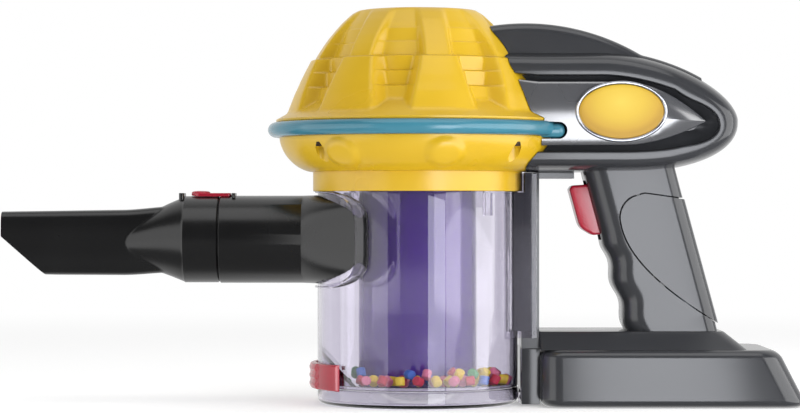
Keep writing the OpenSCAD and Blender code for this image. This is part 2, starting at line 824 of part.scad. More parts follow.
module cyclone_cover() {
    color(yellow)
        translate([0, 0, cover_z0])
            difference() {
                union() {
                    cover_valley();
                    for (i = [0:lobes - 1])
                        rotate(lobe_turn - 90 + i * 360 / lobes) {
                            intersection() {
                                translate([lobe_foot_r, 0, lobe_foot_z])
                                    rotate([0, -lobe_tilt, 0])
                                        translate([0, 0, -8])
                                            cylinder(r1 = lobe_foot_half + 8 * tan(lobe_cone),
                                                r2 = lobe_foot_half - 32 * tan(lobe_cone), h = 40);
                                translate([0, -30, 0])
                                    cube([80, 60, lobe_step]);
                            }
                            intersection() {
                                translate([crown_x, 0, crown_z])
                                    rotate([90, 0, 0])
                                        rotate(crown_from)
                                            rotate_extrude(angle = crown_to - crown_from)
                                                translate([crown_r, 0])
                                                    circle(r = crown_tube);
                                translate([0, -30, 0])
                                    cube([80, 60, cover_h]);
                            }
                        }
                }
                rotate_extrude()
                    polygon([[0, -1], [neck_ri - 3, -1], [neck_ri - 3, 1.2], [46.5, 4], [35.5, 26.5],
                        [24.6, 42.4], [22, 45], [0, 45]]);
                for (a = [45:90:315])
                    rotate(a)
                        translate([bowl_screw_r, 0, -1])
                            cylinder(r = screw_r + 0.05, h = 3.6, $fn = 32);
            }
}
module motor_mount() {
    color(black)
        difference() {
            union() {
                translate([0, 0, mount_z1 - mount_t])
                    cylinder(r = neck_ri - 0.2, h = mount_t);
                translate([0, 0, mount_z1])
                    cylinder(r = motor_r + 2, h = 8);
            }
            translate([0, 0, mount_z1])
                cylinder(r = motor_r + 0.05, h = 20);
            translate([0, 0, mount_z1 - 10])
                cylinder(r = 4, h = 20);
            for (i = [0:11])
                rotate(30 * i)
                    translate([mount_slot_r, -2.5, mount_z1 - 10])
                        cube([neck_ri - 9 - mount_slot_r, 5, 20]);
            for (a = [45:90:315])
                rotate(a)
                    translate([bowl_screw_r, 0, mount_z1 - 10])
                        cylinder(r = screw_r + 0.5, h = 20, $fn = 32);
        }
}
module motor() {
    color(metal)
        difference() {
            union() {
                translate([0, 0, mount_z1])
                    cylinder(r = motor_r, h = motor_h);
                translate([0, 0, mount_z1 + motor_h])
                    cylinder(r = 4, h = 2);
            }
            translate([0, 0, mount_z1 - 1])
                cylinder(r = shaft_r + run_fit, h = motor_h - 2);
        }
}
module motor_shaft() {
    color(metal)
        translate([0, 0, impeller_z0])
            cylinder(r = shaft_r, h = mount_z1 + motor_h - 6 - impeller_z0);
}
module impeller() {
    color(black)
        translate([0, 0, impeller_z0])
            difference() {
                union() {
                    cylinder(r = impeller_r, h = 1.5);
                    cylinder(r = 5, h = impeller_h);
                    for (i = [0:blades - 1])
                        rotate(i * 360 / blades)
                            translate([4, -0.7, 0])
                                cube([impeller_r - 5, 1.4, impeller_h]);
                }
                translate([0, 0, -1])
                    cylinder(r = shaft_r + 0.01, h = impeller_h + 2);
            }
}

// screws that hold the halves of the body: housing in X and Z, grip in u and v
housing_screws = [
    [66, housing_z1 - 6.5], [housing_reach - 20, housing_z0 + 36],
    [housing_reach - 7, nose_z - 1], [housing_reach - 21.5, housing_z0 + 7]
];
grip_screws = [[9.4, 6], [28.5, grip_l - 8]];
housing_screw_y = half_w - 8;
grip_screw_y = grip_half - 4;
module housing_bosses(r, y0, y1) {
    for (p = housing_screws)
        translate([p.x, y0, p.y])
            rotate([-90, 0, 0])
                cylinder(r = r, h = y1 - y0, $fn = 32);
}
module grip_bosses(r, y0, y1) {
    for (p = grip_screws)
        translate([p.x, y0, p.y])
            rotate([-90, 0, 0])
                cylinder(r = r, h = y1 - y0, $fn = 32);
}
// side outline of the trim panel, moved in by d from the housing
module panel_shape(d) {
    polygon([for (p = housing_outline()) moved_in([max(p.x, 40), p.y], d)]);
}
// slot for the end of the trim ring, open to both sides
module ring_slot(c) {
    r = ring_t / 2 + c;
    side_plate(housing_w)
        translate([0, ring_z]) {
            translate([0, -r])
                square([ring_major, 2 * r]);
            translate([ring_major, 0])
                circle(r = r, $fn = 48);
        }
}
module housing_cuts() {
    head_room(0.4);
    ring_slot(0.4);
    // flat pocket of the trim panel, on both sides
    for (s = [-1, 1])
        translate([0, s > 0 ? half_w - panel_deep : -half_w + panel_deep, 0])
            rotate([s > 0 ? -90 : 90, 0, 0])
                linear_extrude(10)
                    scale([1, s > 0 ? -1 : 1])
                        panel_shape(panel_in - gap);
    // socket of the grip
    in_grip()
        translate([-gap, -grip_half - gap, grip_l - 20])
            cube([rear_u(grip_l) + 2 * gap, grip_w + 2 * gap, 20 + grip_sink + 1]);
}
module housing_right() {
    color(grey)
        difference() {
            union() {
                housing_half(true);
                intersection() {
                    housing_half(false);
                    housing_bosses(boss_r, 0, half_w + 1);
                }
            }
            housing_cuts();
            housing_bosses(screw_r + gap, -1, half_w + 5);
            housing_bosses(screw_head_r + gap, housing_screw_y, half_w + 5);
        }
}
module housing_left() {
    color(grey)
        difference() {
            mirror([0, 1, 0])
                union() {
                    housing_half(true);
                    housing_bosses(boss_r, 0, half_w - 6);
                }
            housing_cuts();
            housing_bosses(screw_r + 0.02, -half_w + 9, 1);
        }
}
// a section in radius and Y, swept along the arc of the spine from angle a0 to a1
module spine_sweep(section, a0, a1) {
    steps = 14;
    ring_stack([for (k = [0:steps]) let (a = a0 + (a1 - a0) * k / steps)
        [for (p = rev(section)) [spine_cx + p.x * cos(a), p.y, spine_cz + p.x * sin(a)]]]);
}
module spine_cap() {
    w = spine_w / 2;
    wi = w - shell_wall;
    edge = spine_round * 0.3;
    color(grey)
        difference() {
            spine_sweep([
                [spine_r - spine_depth, -w], [spine_r - spine_round, -w], [spine_r - edge, -w + edge],
                [spine_r, -w + spine_round], [spine_r, w - spine_round], [spine_r - edge, w - edge],
                [spine_r - spine_round, w], [spine_r - spine_depth, w]
            ], spine_a0, spine_a1);
            spine_sweep([
                [spine_r - spine_depth - 8, -wi], [spine_r - shell_wall, -wi],
                [spine_r - shell_wall, wi], [spine_r - spine_depth - 8, wi]
            ], spine_a0 + 6.5, spine_a1 + 6.5);
            side_plate(half_w)
                polygon(housing_outline());
            head_room(0.6);
        }
}
module trim_panel(s) {
    color(grey)
        difference() {
            translate([0, s > 0 ? half_w - panel_deep : -half_w + panel_deep, 0])
                rotate([s > 0 ? -90 : 90, 0, 0])
                    scale([1, s > 0 ? -1 : 1, 1]) {
                        linear_extrude(panel_deep + 1)
                            panel_shape(panel_in);
                        linear_extrude(panel_deep + panel_out)
                            panel_shape(panel_in + 2);
                    }
            head_room(0.4);
            ring_slot(0.4);
            translate([badge_x, 0, badge_z])
                rotate([s > 0 ? -90 : 90, 0, 0])
                    translate([0, 0, half_w + panel_out - 1])
                        linear_extrude(10)
                            badge_shape(badge_rim + seat);
        }
}
module badge_shape(g) {
    polygon([for (a = [0:5:355]) [(badge_rx + g) * cos(a), (badge_rz + g) * sin(a)]]);
}
module badge_place(s) {
    translate([badge_x, 0, badge_z])
        rotate([s > 0 ? -90 : 90, 0, 0])
            translate([0, 0, half_w + panel_out - 1])
                children();
}
module badge_bezel(s) {
    color(metal)
        badge_place(s)
            linear_extrude(1.8)
                difference() {
                    badge_shape(badge_rim);
                    badge_shape(0);
                }
}
module badge(s) {
    color(yellow)
        badge_place(s)
            linear_extrude(1.5)
                badge_shape(-seat);
}
module trim_panel_left() {
    trim_panel(-1);
}
module trim_panel_right() {
    trim_panel(1);
}
module badge_bezel_left() {
    badge_bezel(-1);
}
module badge_bezel_right() {
    badge_bezel(1);
}
module badge_left() {
    badge(-1);
}
module badge_right() {
    badge(1);
}

module rear_column() {
    color(grey)
        difference() {
            union() {
                translate([bin_r - 6, -column_half, plinth_z1])
                    cube([column_x - bin_r + 6, 2 * column_half, housing_z0 - 0.3 - plinth_z1]);
                translate([column_x - 1, -10, housing_z0 - tongue_t])
                    cube([tongue_x - column_x + 1, 20, tongue_t - seat]);
            }
            translate([bin_r + 2.4, -column_half + 2, plinth_z1 - 1])
                cube([column_x - bin_r - 4.4, 2 * column_half - 4, housing_z0 - plinth_z1 - 4]);
            translate([0, 0, plinth_z1 - 1])
                cylinder(r = bin_r + 0.5, h = 100);
            // room of the skirt, open to both sides
            translate([0, -column_half - 1, skirt_z0 - 0.5])
                cube([skirt_r + 0.4, 2 * column_half + 2, 40]);
        }
}
module hinge_block() {
    x0 = bin_r + 0.8;
    color(grey)
        difference() {
            translate([x0, -18, 0.4])
                cube([pack_x0 - x0, 36, plinth_z0 - 0.4]);
            translate([hinge_x, 0, hinge_z])
                rotate([90, 0, 0])
                    cylinder(r = knuckle_r + 0.5, h = 2 * (knuckle_half + 0.4), center = true);
            translate([x0 - 1, -knuckle_half - 0.4, -1])
                cube([hinge_x - x0 + 1, 2 * (knuckle_half + 0.4), hinge_z + knuckle_r + 1.5]);
            translate([hinge_x - knuckle_r - 0.5, -knuckle_half - 0.4, -1])
                cube([2 * knuckle_r + 1, 2 * (knuckle_half + 0.4), hinge_z + 1]);
            translate([hinge_x, 0, hinge_z])
                rotate([90, 0, 0])
                    cylinder(r = pin_r + 0.02, h = 2 * pin_half + 0.2, center = true);
        }
}
module plinth_block(inset, drop) {
    r = 5;
    hull() {
        translate([pack_x0 + inset, -plinth_half_foot + inset, plinth_z0 - drop])
            cube([1, 2 * (plinth_half_foot - inset), 0.2 + drop]);
        translate([pack_x0 + inset, -plinth_half_top + inset, plinth_z0])
            cube([1, 2 * (plinth_half_top - inset), plinth_h - inset]);
        for (s = [-1, 1]) {
            translate([plinth_foot_x - r - inset, s * (plinth_half_foot - r - inset), plinth_z0 - drop])
                cylinder(r = r, h = 0.2 + drop, $fn = 32);
            translate([plinth_top_x - r - inset, s * (plinth_half_top - r - inset), plinth_z0])
                cylinder(r = r, h = plinth_h - inset, $fn = 32);
        }
    }
}
module plinth() {
    color(grey)
        union() {
            difference() {
                plinth_block(0, 0);
                plinth_block(shell_wall, 2);
            }
            translate([bin_r + 0.8, -column_half, plinth_z0])
                cube([pack_x0 - bin_r, 2 * column_half, plinth_h]);
        }
}
// a rounded post of the pack, for its hull
module post(x, y, z0, z1, r) {
    e = 3;
    translate([x, y, 0])
        rotate_extrude($fn = 32)
            polygon([[0, z0], [r - e, z0], [r - e * 0.3, z0 + e * 0.3], [r, z0 + e], [r, z1 - e],
                [r - e * 0.3, z1 - e * 0.3], [r - e, z1], [0, z1]]);
}
module pack_block(i) {
    hull()
        for (s = [-1, 1]) {
            post(pack_x0 + i + 9, s * (pack_half - i - 9), 0, 7, 9);
            post(pack_x0 + i + 9, s * (pack_half - pack_lean - i - 9), pack_h - i - 7, pack_h - i, 9);
            post(pack_top_x - i - 10, s * (pack_half - pack_lean - i - 10), pack_h - i - 7, pack_h - i, 10);
            post(pack_foot_x - i - 10, s * (pack_half - i - 10), 0, 7, 10);
        }
}
module base_posts(r, z0, z1) {
    for (x = [pack_x0 + 14, pack_foot_x - 22])
        for (s = [-1, 1])
            translate([x, s * (pack_half - 13), z0])
                cylinder(r = r, h = z1 - z0, $fn = 32);
}
module base_outline(g) {
    translate([pack_x0 + base_inset - g, -pack_half + base_inset - g])
        square([pack_l - 2 * base_inset - 6 + 2 * g, pack_w - 2 * base_inset + 2 * g]);
}
module pack_case() {
    color(grey)
        difference() {
            pack_block(0);
            difference() {
                intersection() {
                    pack_block(shell_wall);
                    translate([0, -100, base_t + seat])
                        cube([300, 200, 100]);
                }
                base_posts(boss_r, -1, pack_h);
            }
            translate([0, 0, -1])
                linear_extrude(base_t + seat + 1 + eps)
                    base_outline(gap);
            base_posts(screw_r + 0.02, -1, 14);
        }
}
module pack_base() {
    color(grey)
        difference() {
            linear_extrude(base_t)
                base_outline(0);
            base_posts(screw_r + gap, -1, 10);
            base_posts(screw_head_r + gap, -1, 0.9);
        }
}
module base_screws() {
    color(metal) {
        base_posts(screw_head_r, 0.2, 0.85);
        base_posts(screw_r, 0.2, 12);
    }
}

module grip_body(s) {
    // the shell is cut off level on the plinth and inside the housing
    intersection() {
        in_grip()
            mirror([0, s > 0 ? 0 : 1, 0])
                union() {
                    grip_shell();
                    intersection() {
                        grip_bosses(boss_r, 0, grip_half - 0.5);
                        translate([0.5, 0, -14])
                            cube([rear_u(0) - 0.5, grip_half, grip_l + 20]);
                    }
                }
        translate([0, -100, plinth_z1])
            cube([300, 200, housing_z0 + grip_sink - plinth_z1]);
    }
}
module grip_cuts() {
    in_grip() {
        side_plate(60)
            cover_outline(gap);
        // slot of the trigger
        translate([-5, -trig_half - gap, trig_v1 - trig_h - 2.4])
            cube([5 + grip_wall + 2, 2 * (trig_half + gap), trig_h + 4.2]);
    }
}
module grip_right() {
    color(grey)
        difference() {
            grip_body(1);
            grip_cuts();
            in_grip() {
                grip_bosses(screw_r + gap, -1, grip_half + 2);
                grip_bosses(screw_head_r + gap, grip_screw_y, grip_half + 2);
            }
        }
}
module grip_left() {
    color(grey)
        difference() {
            grip_body(-1);
            grip_cuts();
            in_grip()
                grip_bosses(screw_r + 0.02, -grip_half + 3.4, 1);
        }
}
module shell_screws() {
    color(metal) {
        housing_bosses(screw_head_r, housing_screw_y + 0.1, housing_screw_y + 1.9);
        housing_bosses(screw_r, -half_w + 12, housing_screw_y + 1);
        in_grip() {
            grip_bosses(screw_head_r, grip_screw_y + 0.1, grip_screw_y + 1.9);
            grip_bosses(screw_r, -grip_half + 5, grip_screw_y + 1);
        }
    }
}
module trigger() {
    t = tan(lean);
    v0 = trig_v1 - trig_h;
    color(red)
        in_grip() {
            side_plate(trig_half)
                polygon(concat(
                    [[flange_u + 0.2, v0 - t * 2], [flange_u + 0.2, trig_v1 - t * 2]],
                    [[0, trig_v1], [-trig_out + 1.5, trig_v1 + 1.4], [-trig_out, trig_v1]],
                    [for (a = [180:15:270]) [-trig_out + 4.5 + 4.5 * cos(a), v0 + 5 + 4.5 * sin(a)]]
                ));
            translate([flange_u, -trig_half - 2, v0 - 2])
                cube([flange_t, 2 * trig_half + 4, trig_h + 2.6]);
        }
}
module trigger_spring() {
    u0 = flange_u + flange_t;
    color(metal)
        in_grip()
            translate([u0 + seat, 0, trig_v1 - trig_h + 6])
                rotate([0, 90, 0])
                    coil(3.2, 0.4, tray_u0 - u0 - 2 * seat, 6);
}
module switch() {
    color(black)
        in_grip()
            translate([switch_u, -5, trig_v1 - 9])
                cube([tray_u0 - seat - switch_u, 10, 7]);
}
module battery_tray() {
    top = cell_v0 + cell_l + 0.9;
    color(black)
        in_grip()
            intersection() {
                union() {
                    translate([tray_u0, -tray_half, tray_v0])
                        cube([tray_t, 2 * tray_half, trig_v1 - tray_v0]);
                    translate([tray_u0, -shelf_half, tray_v0])
                        cube([rear_u(tray_v0) - grip_wall - 0.4 - tray_u0, 2 * shelf_half, tray_t]);
                    translate([tray_u0, -shelf_half, top])
                        cube([cell_u + cell_r - tray_u0 - 1, 2 * shelf_half, tray_t]);
                }
                translate([0, -50, tray_v0 - 1])
                    cube([100, 100, grip_l + 20]);
            }
}
module battery_cells() {
    color("#8a8f3a")
        in_grip()
            for (s = [-1, 1])
                translate([cell_u, s * (cell_r + 0.1), cell_v0]) {
                    cylinder(r = cell_r, h = cell_l - 1, $fn = 48);
                    cylinder(r = 2.7, h = cell_l, $fn = 32);
                }
}
module contact_springs() {
    color(metal)
        in_grip()
            for (s = [-1, 1])
                translate([cell_u, s * (cell_r + 0.1), tray_v0 + tray_t + seat])
                    coil(3, 0.35, contact_h - 2 * seat, 3);
}
module contact_plate() {
    color(metal)
        in_grip()
            translate([cell_u - 4, -cell_r - 4, cell_v0 + cell_l + seat])
                cube([8, 2 * cell_r + 8, 0.6]);
}
module battery_cover() {
    function section(u1, w, r) = concat(
        [[8, w]],
        [for (i = [0:4]) let (a = 90 - 22.5 * i) [u1 - r + r * cos(a), w - r + r * sin(a)]],
        [for (i = [0:4]) let (a = -22.5 * i) [u1 - r + r * cos(a), -w + r + r * sin(a)]],
        [[8, -w]]
    );
    color(grey)
        in_grip()
            intersection() {
                ring_stack([for (v = [-14, 60]) concat(
                    [for (p = section(cover_u, grip_half, rear_round + 1)) [p.x, p.y, v]],
                    rev([for (p = section(cover_u - cover_wall, grip_half - cover_wall, rear_round - 0.7))
                        [p.x, p.y, v]])
                )], strip = true);
                side_plate(60)
                    cover_outline(0);
            }
}

crevice_tool();
tool_latch();
inlet_duct();
bead_guard();
clear_bin();
bin_floor();
catch_ramp();
cyclone_core();
bead_screen();
beads(0, "#e6c22c");  // beads_yellow
beads(1, "#c8304a");  // beads_red
beads(2, "#3a62b4");  // beads_blue
beads(3, "#3f9a55");  // beads_green
beads(4, "#e3849c");  // beads_pink
bin_flap();
flap_pin();
bin_catch();
catch_pin();
catch_spring();
cyclone_bowl();
trim_ring();
cyclone_cover();
bowl_screws();
motor_mount();
motor();
motor_shaft();
impeller();
housing_left();
housing_right();
spine_cap();
trim_panel_left();
trim_panel_right();
badge_bezel_left();
badge_bezel_right();
badge_left();
badge_right();
rear_column();
hinge_block();
plinth();
pack_case();
pack_base();
base_screws();
grip_left();
grip_right();
shell_screws();
trigger();
trigger_spring();
switch();
battery_tray();
battery_cells();
contact_springs();
contact_plate();
battery_cover();
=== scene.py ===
import math

import bmesh
import bpy
import numpy as np
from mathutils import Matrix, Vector


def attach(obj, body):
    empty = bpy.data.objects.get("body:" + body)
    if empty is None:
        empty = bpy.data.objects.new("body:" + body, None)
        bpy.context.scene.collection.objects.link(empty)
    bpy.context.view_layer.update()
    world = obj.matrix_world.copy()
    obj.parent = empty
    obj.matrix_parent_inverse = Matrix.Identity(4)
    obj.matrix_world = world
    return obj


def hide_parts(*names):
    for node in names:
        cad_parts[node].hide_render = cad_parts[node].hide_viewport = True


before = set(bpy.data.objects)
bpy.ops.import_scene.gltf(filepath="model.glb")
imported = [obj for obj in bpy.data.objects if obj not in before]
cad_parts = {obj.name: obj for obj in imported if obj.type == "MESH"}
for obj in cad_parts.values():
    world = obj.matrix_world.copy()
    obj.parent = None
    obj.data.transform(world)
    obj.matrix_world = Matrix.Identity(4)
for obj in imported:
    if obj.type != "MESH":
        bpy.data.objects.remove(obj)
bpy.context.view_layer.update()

# Toy hand-held vacuum cleaner. Sizes below are millimetres, in the frame of the CAD part.
MM = 0.001
# how near points are merged, in metres: in meshes made here, and in CAD triangles
OWN_WELD, CAD_WELD = 2e-7, 2e-6
scene = bpy.context.scene
scene.view_settings.view_transform = "Standard"


# ---------------------------------------------------------------- mesh helpers
def ring_grid(rows, close=False, caps=False):
    """Faces between closed rows of points that all have one length."""
    n, m = len(rows[0]), len(rows)
    points = [tuple(p) for row in rows for p in row]
    faces = []
    for k in range(m if close else m - 1):
        a, b = k * n, (k + 1) % m * n
        faces += [(a + i, a + (i + 1) % n, b + (i + 1) % n, b + i) for i in range(n)]
    if caps:
        faces += [tuple(range(n)), tuple((m - 1) * n + i for i in range(n))]
    return points, faces


def strip_rows(rows):
    """A wall that goes out along one side and back along the other, closed at both ends."""
    points, faces = ring_grid(rows)
    n, m = len(rows[0]), len(rows)
    for base in (0, (m - 1) * n):
        faces += [(base + i, base + i + 1, base + n - 2 - i, base + n - 1 - i) for i in range(n // 2 - 1)]
    return points, faces


def full_turn(sides):
    """Even angles once round."""
    return np.arange(sides) * 2 * math.pi / sides


def quarter_turn(steps):
    """Even angles from 0 to a right angle."""
    return np.linspace(0, math.pi / 2, steps)


def hoop(r, z, angles):
    """A level row of points at a radius and a height."""
    return [(r * math.cos(a), r * math.sin(a), z) for a in angles]


def lathe(profile, sides, close=True):
    """A profile of (radius, z) turned about Z. An open one starts and ends on the axis."""
    angles = full_turn(sides)
    return ring_grid([hoop(r, z, angles) for r, z in profile], close)


def lathe_x(profile, sides):
    """A closed profile of (radius, x) turned about the pipe's axis."""
    points, faces = lathe(profile, sides)
    return [(x, a, PIPE_Z + b) for a, b, x in points], faces


def rounded(corners, steps):
    """A closed outline of (x, y, radius) corners, each turned into an arc."""
    out = []
    for i, corner in enumerate(corners):
        before, here, after = (np.array(corners[(i + k) % len(corners)][:2], float) for k in (-1, 0, 1))
        if len(corner) < 3 or not corner[2]:
            out.append(tuple(here))
            continue
        a, b = before - here, after - here
        la, lb = np.linalg.norm(a), np.linalg.norm(b)
        a, b = a / la, b / lb
        half = math.acos(max(-1, min(1, float(a @ b)))) / 2
        d = min(corner[2] / math.tan(half), 0.49 * la, 0.49 * lb)
        r = d * math.tan(half)
        c = here + (a + b) / np.linalg.norm(a + b) * r / math.sin(half)
        s, e = here + a * d - c, here + b * d - c
        a0 = math.atan2(s[1], s[0])
        da = (math.atan2(e[1], e[0]) - a0 + math.pi) % (2 * math.pi) - math.pi
        out += [(c[0] + r * math.cos(a0 + da * k / steps), c[1] + r * math.sin(a0 + da * k / steps))
                for k in range(steps + 1)]
    return out


def superellipse(centre, radii, power, a0, a1, steps):
    """Points of a superellipse arc between two angles in degrees."""
    out = []
    for k in range(steps + 1):
        a = math.radians(a0 + (a1 - a0) * k / steps)
        c, s = math.cos(a), math.sin(a)
        out.append((centre[0] + radii[0] * math.copysign(abs(c) ** (2 / power), c),
                    centre[1] + radii[1] * math.copysign(abs(s) ** (2 / power), s)))
    return out


def smoothstep(x, a, b):
    """0 at a, 1 at b and a soft rise between them."""
    t = np.clip((x - a) / (b - a), 0, 1)
    return t * t * (3 - 2 * t)


def mesh_piece(name, *parts):
    """One object from closed parts in millimetres, with faces outward."""
    points, faces = [], []
    for p, f in parts:
        faces += [tuple(i + len(points) for i in face) for face in f]
        points += p
    mesh = bpy.data.meshes.new(name)
    mesh.from_pydata([[c * MM for c in p] for p in points], [], faces)
    bm = bmesh.new()
    bm.from_mesh(mesh)
    bmesh.ops.remove_doubles(bm, verts=bm.verts, dist=OWN_WELD)
    bmesh.ops.recalc_face_normals(bm, faces=bm.faces)
    bm.to_mesh(mesh)
    bm.free()
    obj = bpy.data.objects.new(name, mesh)
    scene.collection.objects.link(obj)
    return obj


def prism(outline, y0, y1):
    """A side outline of (x, z) pulled from y0 to y1."""
    return ring_grid([[(x, y, z) for x, z in outline] for y in (y0, y1)], caps=True)


def block(x0, x1, y0, y1, z0, z1):
    """A plain box, for cutters and for webs that no eye reaches."""
    return prism([(x0, z0), (x1, z0), (x1, z1), (x0, z1)], y0, y1)


def bake(obj):
    """The modifiers' result becomes the object's own mesh."""
    bpy.context.view_layer.update()
    result = obj.evaluated_get(bpy.context.evaluated_depsgraph_get())
    mesh = bpy.data.meshes.new_from_object(result)
    obj.modifiers.clear()
    obj.data = mesh
    return obj


def cut(obj, tool, operation="DIFFERENCE"):
    """Takes a tool out of an object, or joins the two, or keeps what they share."""
    modifier = obj.modifiers.new("cut", "BOOLEAN")
    modifier.operation, modifier.solver, modifier.object = operation, "EXACT", tool
    return bake(obj)


def soften(obj, width, segments=3, angle=40):
    """Rounds the sharp edges, as a mould does."""
    modifier = obj.modifiers.new("soften", "BEVEL")
    modifier.width, modifier.segments = width * MM, segments
    modifier.limit_method, modifier.angle_limit = "ANGLE", math.radians(angle)
    modifier.miter_outer = "MITER_ARC"
    return bake(obj)


def discard(*objs):
    """Removes cutters and other helpers that are not pieces."""
    for obj in objs:
        bpy.data.objects.remove(obj)


def cad_copy(node, name):
    """A merged copy of a CAD node, with its flat faces joined."""
    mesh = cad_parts[node].data.copy()
    bm = bmesh.new()
    bm.from_mesh(mesh)
    bmesh.ops.remove_doubles(bm, verts=bm.verts, dist=CAD_WELD)
    bmesh.ops.dissolve_limit(bm, angle_limit=math.radians(1), verts=bm.verts, edges=bm.edges)
    bm.to_mesh(mesh)
    bm.free()
    obj = bpy.data.objects.new(name, mesh)
    scene.collection.objects.link(obj)
    return obj


def put(obj, material, body, slot, *nodes, sharp=35):
    """Finish and body of a piece, and the CAD nodes that it stands for. slot is not used."""
    obj.data.materials.clear()
    obj.data.materials.append(material)
    obj.data.shade_smooth()
    obj.data.set_sharp_from_angle(angle=math.radians(sharp))
    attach(obj, body)
    if nodes:
        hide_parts(*nodes)
    return obj


# ---------------------------------------------------------------- materials
def srgb(text):
    """Linear colour of an sRGB hex value."""
    c = [int(text[i:i + 2], 16) / 255 for i in (1, 3, 5)]
    return tuple(v / 12.92 if v <= 0.04045 else ((v + 0.055) / 1.055) ** 2.4 for v in c) + (1.0,)


def add(tree, kind, inputs=None, **settings):
    """A node with its settings, values and links."""
    node = tree.nodes.new(kind)
    for key, value in settings.items():
        setattr(node, key, value)
    for key, value in (inputs or {}).items():
        if isinstance(value, bpy.types.NodeSocket):
            tree.links.new(value, node.inputs[key])
        else:
            node.inputs[key].default_value = value
    return node


def new_material(name):
    """A material with an empty node tree."""
    material = bpy.data.materials.new(name)
    material.use_nodes = True
    tree = material.node_tree
    tree.nodes.clear()
    return material, tree


def moulded(name, colour, shade, rough, grain=1.6, depth=0.012, metal=0.0, ior=1.53, drift=28.0):
    """A moulded, lacquered or plated skin: even colour that drifts a little over its length,
    gloss that varies softly, and a faint orange peel. grain, depth and drift are sizes in mm.
    A metal keeps the shader's own IOR."""
    material, tree = new_material(name)
    place = add(tree, "ShaderNodeTexCoord").outputs["Object"]
    flow = add(tree, "ShaderNodeTexNoise", {"Vector": place, "Scale": 1000 / drift, "Detail": 2.0})
    ramp = add(tree, "ShaderNodeValToRGB", {"Fac": flow.outputs["Fac"]})
    low, high = 0.3, 0.7
    for stop, position, tone in zip(ramp.color_ramp.elements, (low, high), (shade, colour)):
        stop.position, stop.color = position, srgb(tone)
    skin = add(tree, "ShaderNodeTexNoise", {"Vector": place, "Scale": 1000 / grain, "Detail": 3.0})
    gloss = add(tree, "ShaderNodeMapRange", {
        "Value": flow.outputs["Fac"], "From Min": low, "From Max": high,
        "To Min": rough * 0.9, "To Max": rough * 1.12})
    bump = add(tree, "ShaderNodeBump", {
        "Height": skin.outputs["Fac"], "Strength": 0.35, "Distance": depth * MM})
    shader = add(tree, "ShaderNodeBsdfPrincipled", {
        "Base Color": ramp.outputs["Color"], "Roughness": gloss.outputs["Result"], "Metallic": metal,
        "Normal": bump.outputs["Normal"]})
    if not metal:
        shader.inputs["IOR"].default_value = ior
    add(tree, "ShaderNodeOutputMaterial", {"Surface": shader.outputs["BSDF"]})
    return material


# glossy moulded ABS: clear strong colour under a smooth skin
yellow_abs = moulded("moulded ABS, yellow", "#d3ac1e", "#cca41a", 0.3)
teal_abs = moulded("moulded ABS, teal", "#3f7f92", "#3a7486", 0.2)
red_abs = moulded("moulded ABS, red", "#b21a34", "#a4162d", 0.2, ior=1.62)
purple_abs = moulded("moulded ABS, purple", "#42187f", "#3d1476", 0.08, ior=2.0)
# black ABS is a little more matt: the tool's skin spreads its highlights
black_abs = moulded("moulded ABS, black", "#0f0f10", "#0d0d0e", 0.25, grain=0.9)
# beads are cut from soft polyethylene rod: waxy, low gloss
bead_finish = {}
for word, colour, shade in (("yellow", "#f0d43c", "#e6c62c"), ("red", "#d23a52", "#c43048"),
                            ("blue", "#3f72c4", "#3866b6"), ("green", "#4cae66", "#429f5b"),
                            ("pink", "#e8899f", "#dd7a92")):
    bead_finish[word] = moulded("polyethylene bead, " + word, colour, shade, 0.4, ior=1.51, drift=9)
# polished grey ABS: dark by itself, flat faces mirror the softboxes as pale sheets
grey_abs = moulded("polished ABS, dark grey", "#37383b", "#343538", 0.17, grain=1.2, depth=0.004)
# silver-grey lacquer of the side panels: a brighter mirror over a grey ground
panel_lacquer = moulded("silver-grey lacquer", "#4d4e52", "#48494d", 0.16, grain=2.5, depth=0.003,
                        ior=2.5)
# vacuum-metallised trim: near mirror, slightly grey
silver_trim = moulded("metallised trim, silver", "#b4b6be", "#aaacb4", 0.2, grain=2.5, depth=0.004,
                      metal=1.0)
# zinc-plated steel of screws, pins and springs
steel = moulded("zinc-plated steel", "#b8babd", "#a3a5a9", 0.3, grain=0.7, metal=1.0)
# screws deep in the bowl's wells, coloured dull dark brown as painted shade, so that the wells read as shaded
# holes
well_shade_steel = moulded("steel darkened as painted well shade", "#3a3128", "#332b23", 0.5, grain=0.7, metal=1.0)
# the motor's can is rolled sheet: softer gleam than the plated screws
tin_can = moulded("rolled steel can", "#a6a8ab", "#94969a", 0.34, grain=0.8, metal=1.0)
# plastic film shrunk round the cells: even grey, half gloss
cell_wrap = moulded("shrink-wrapped cell jacket", "#59616a", "#525961", 0.3)


def clear_styrene():
    """Clear moulded styrene: bright edges, a faint cool tint and slight flow waves.
    Light passes it, so its shadow is only pale."""
    material, tree = new_material("clear moulded styrene")
    place = add(tree, "ShaderNodeTexCoord").outputs["Object"]
    wave = add(tree, "ShaderNodeTexNoise", {"Vector": place, "Scale": 1000 / 18, "Detail": 1.0})
    bump = add(tree, "ShaderNodeBump", {
        "Height": wave.outputs["Fac"], "Strength": 0.2, "Distance": 0.03 * MM})
    glass = add(tree, "ShaderNodeBsdfPrincipled", {
        "Base Color": srgb("#e2dfe9"), "Roughness": 0.02, "IOR": 1.5, "Transmission Weight": 1.0,
        "Normal": bump.outputs["Normal"]})
    open_air = add(tree, "ShaderNodeBsdfTransparent", {"Color": srgb("#f1eff6")})
    path = add(tree, "ShaderNodeLightPath")
    mixed = add(tree, "ShaderNodeMixShader", {
        0: path.outputs["Is Shadow Ray"], 1: glass.outputs["BSDF"], 2: open_air.outputs["BSDF"]})
    add(tree, "ShaderNodeOutputMaterial", {"Surface": mixed.outputs["Shader"]})
    return material


clear_plastic = clear_styrene()


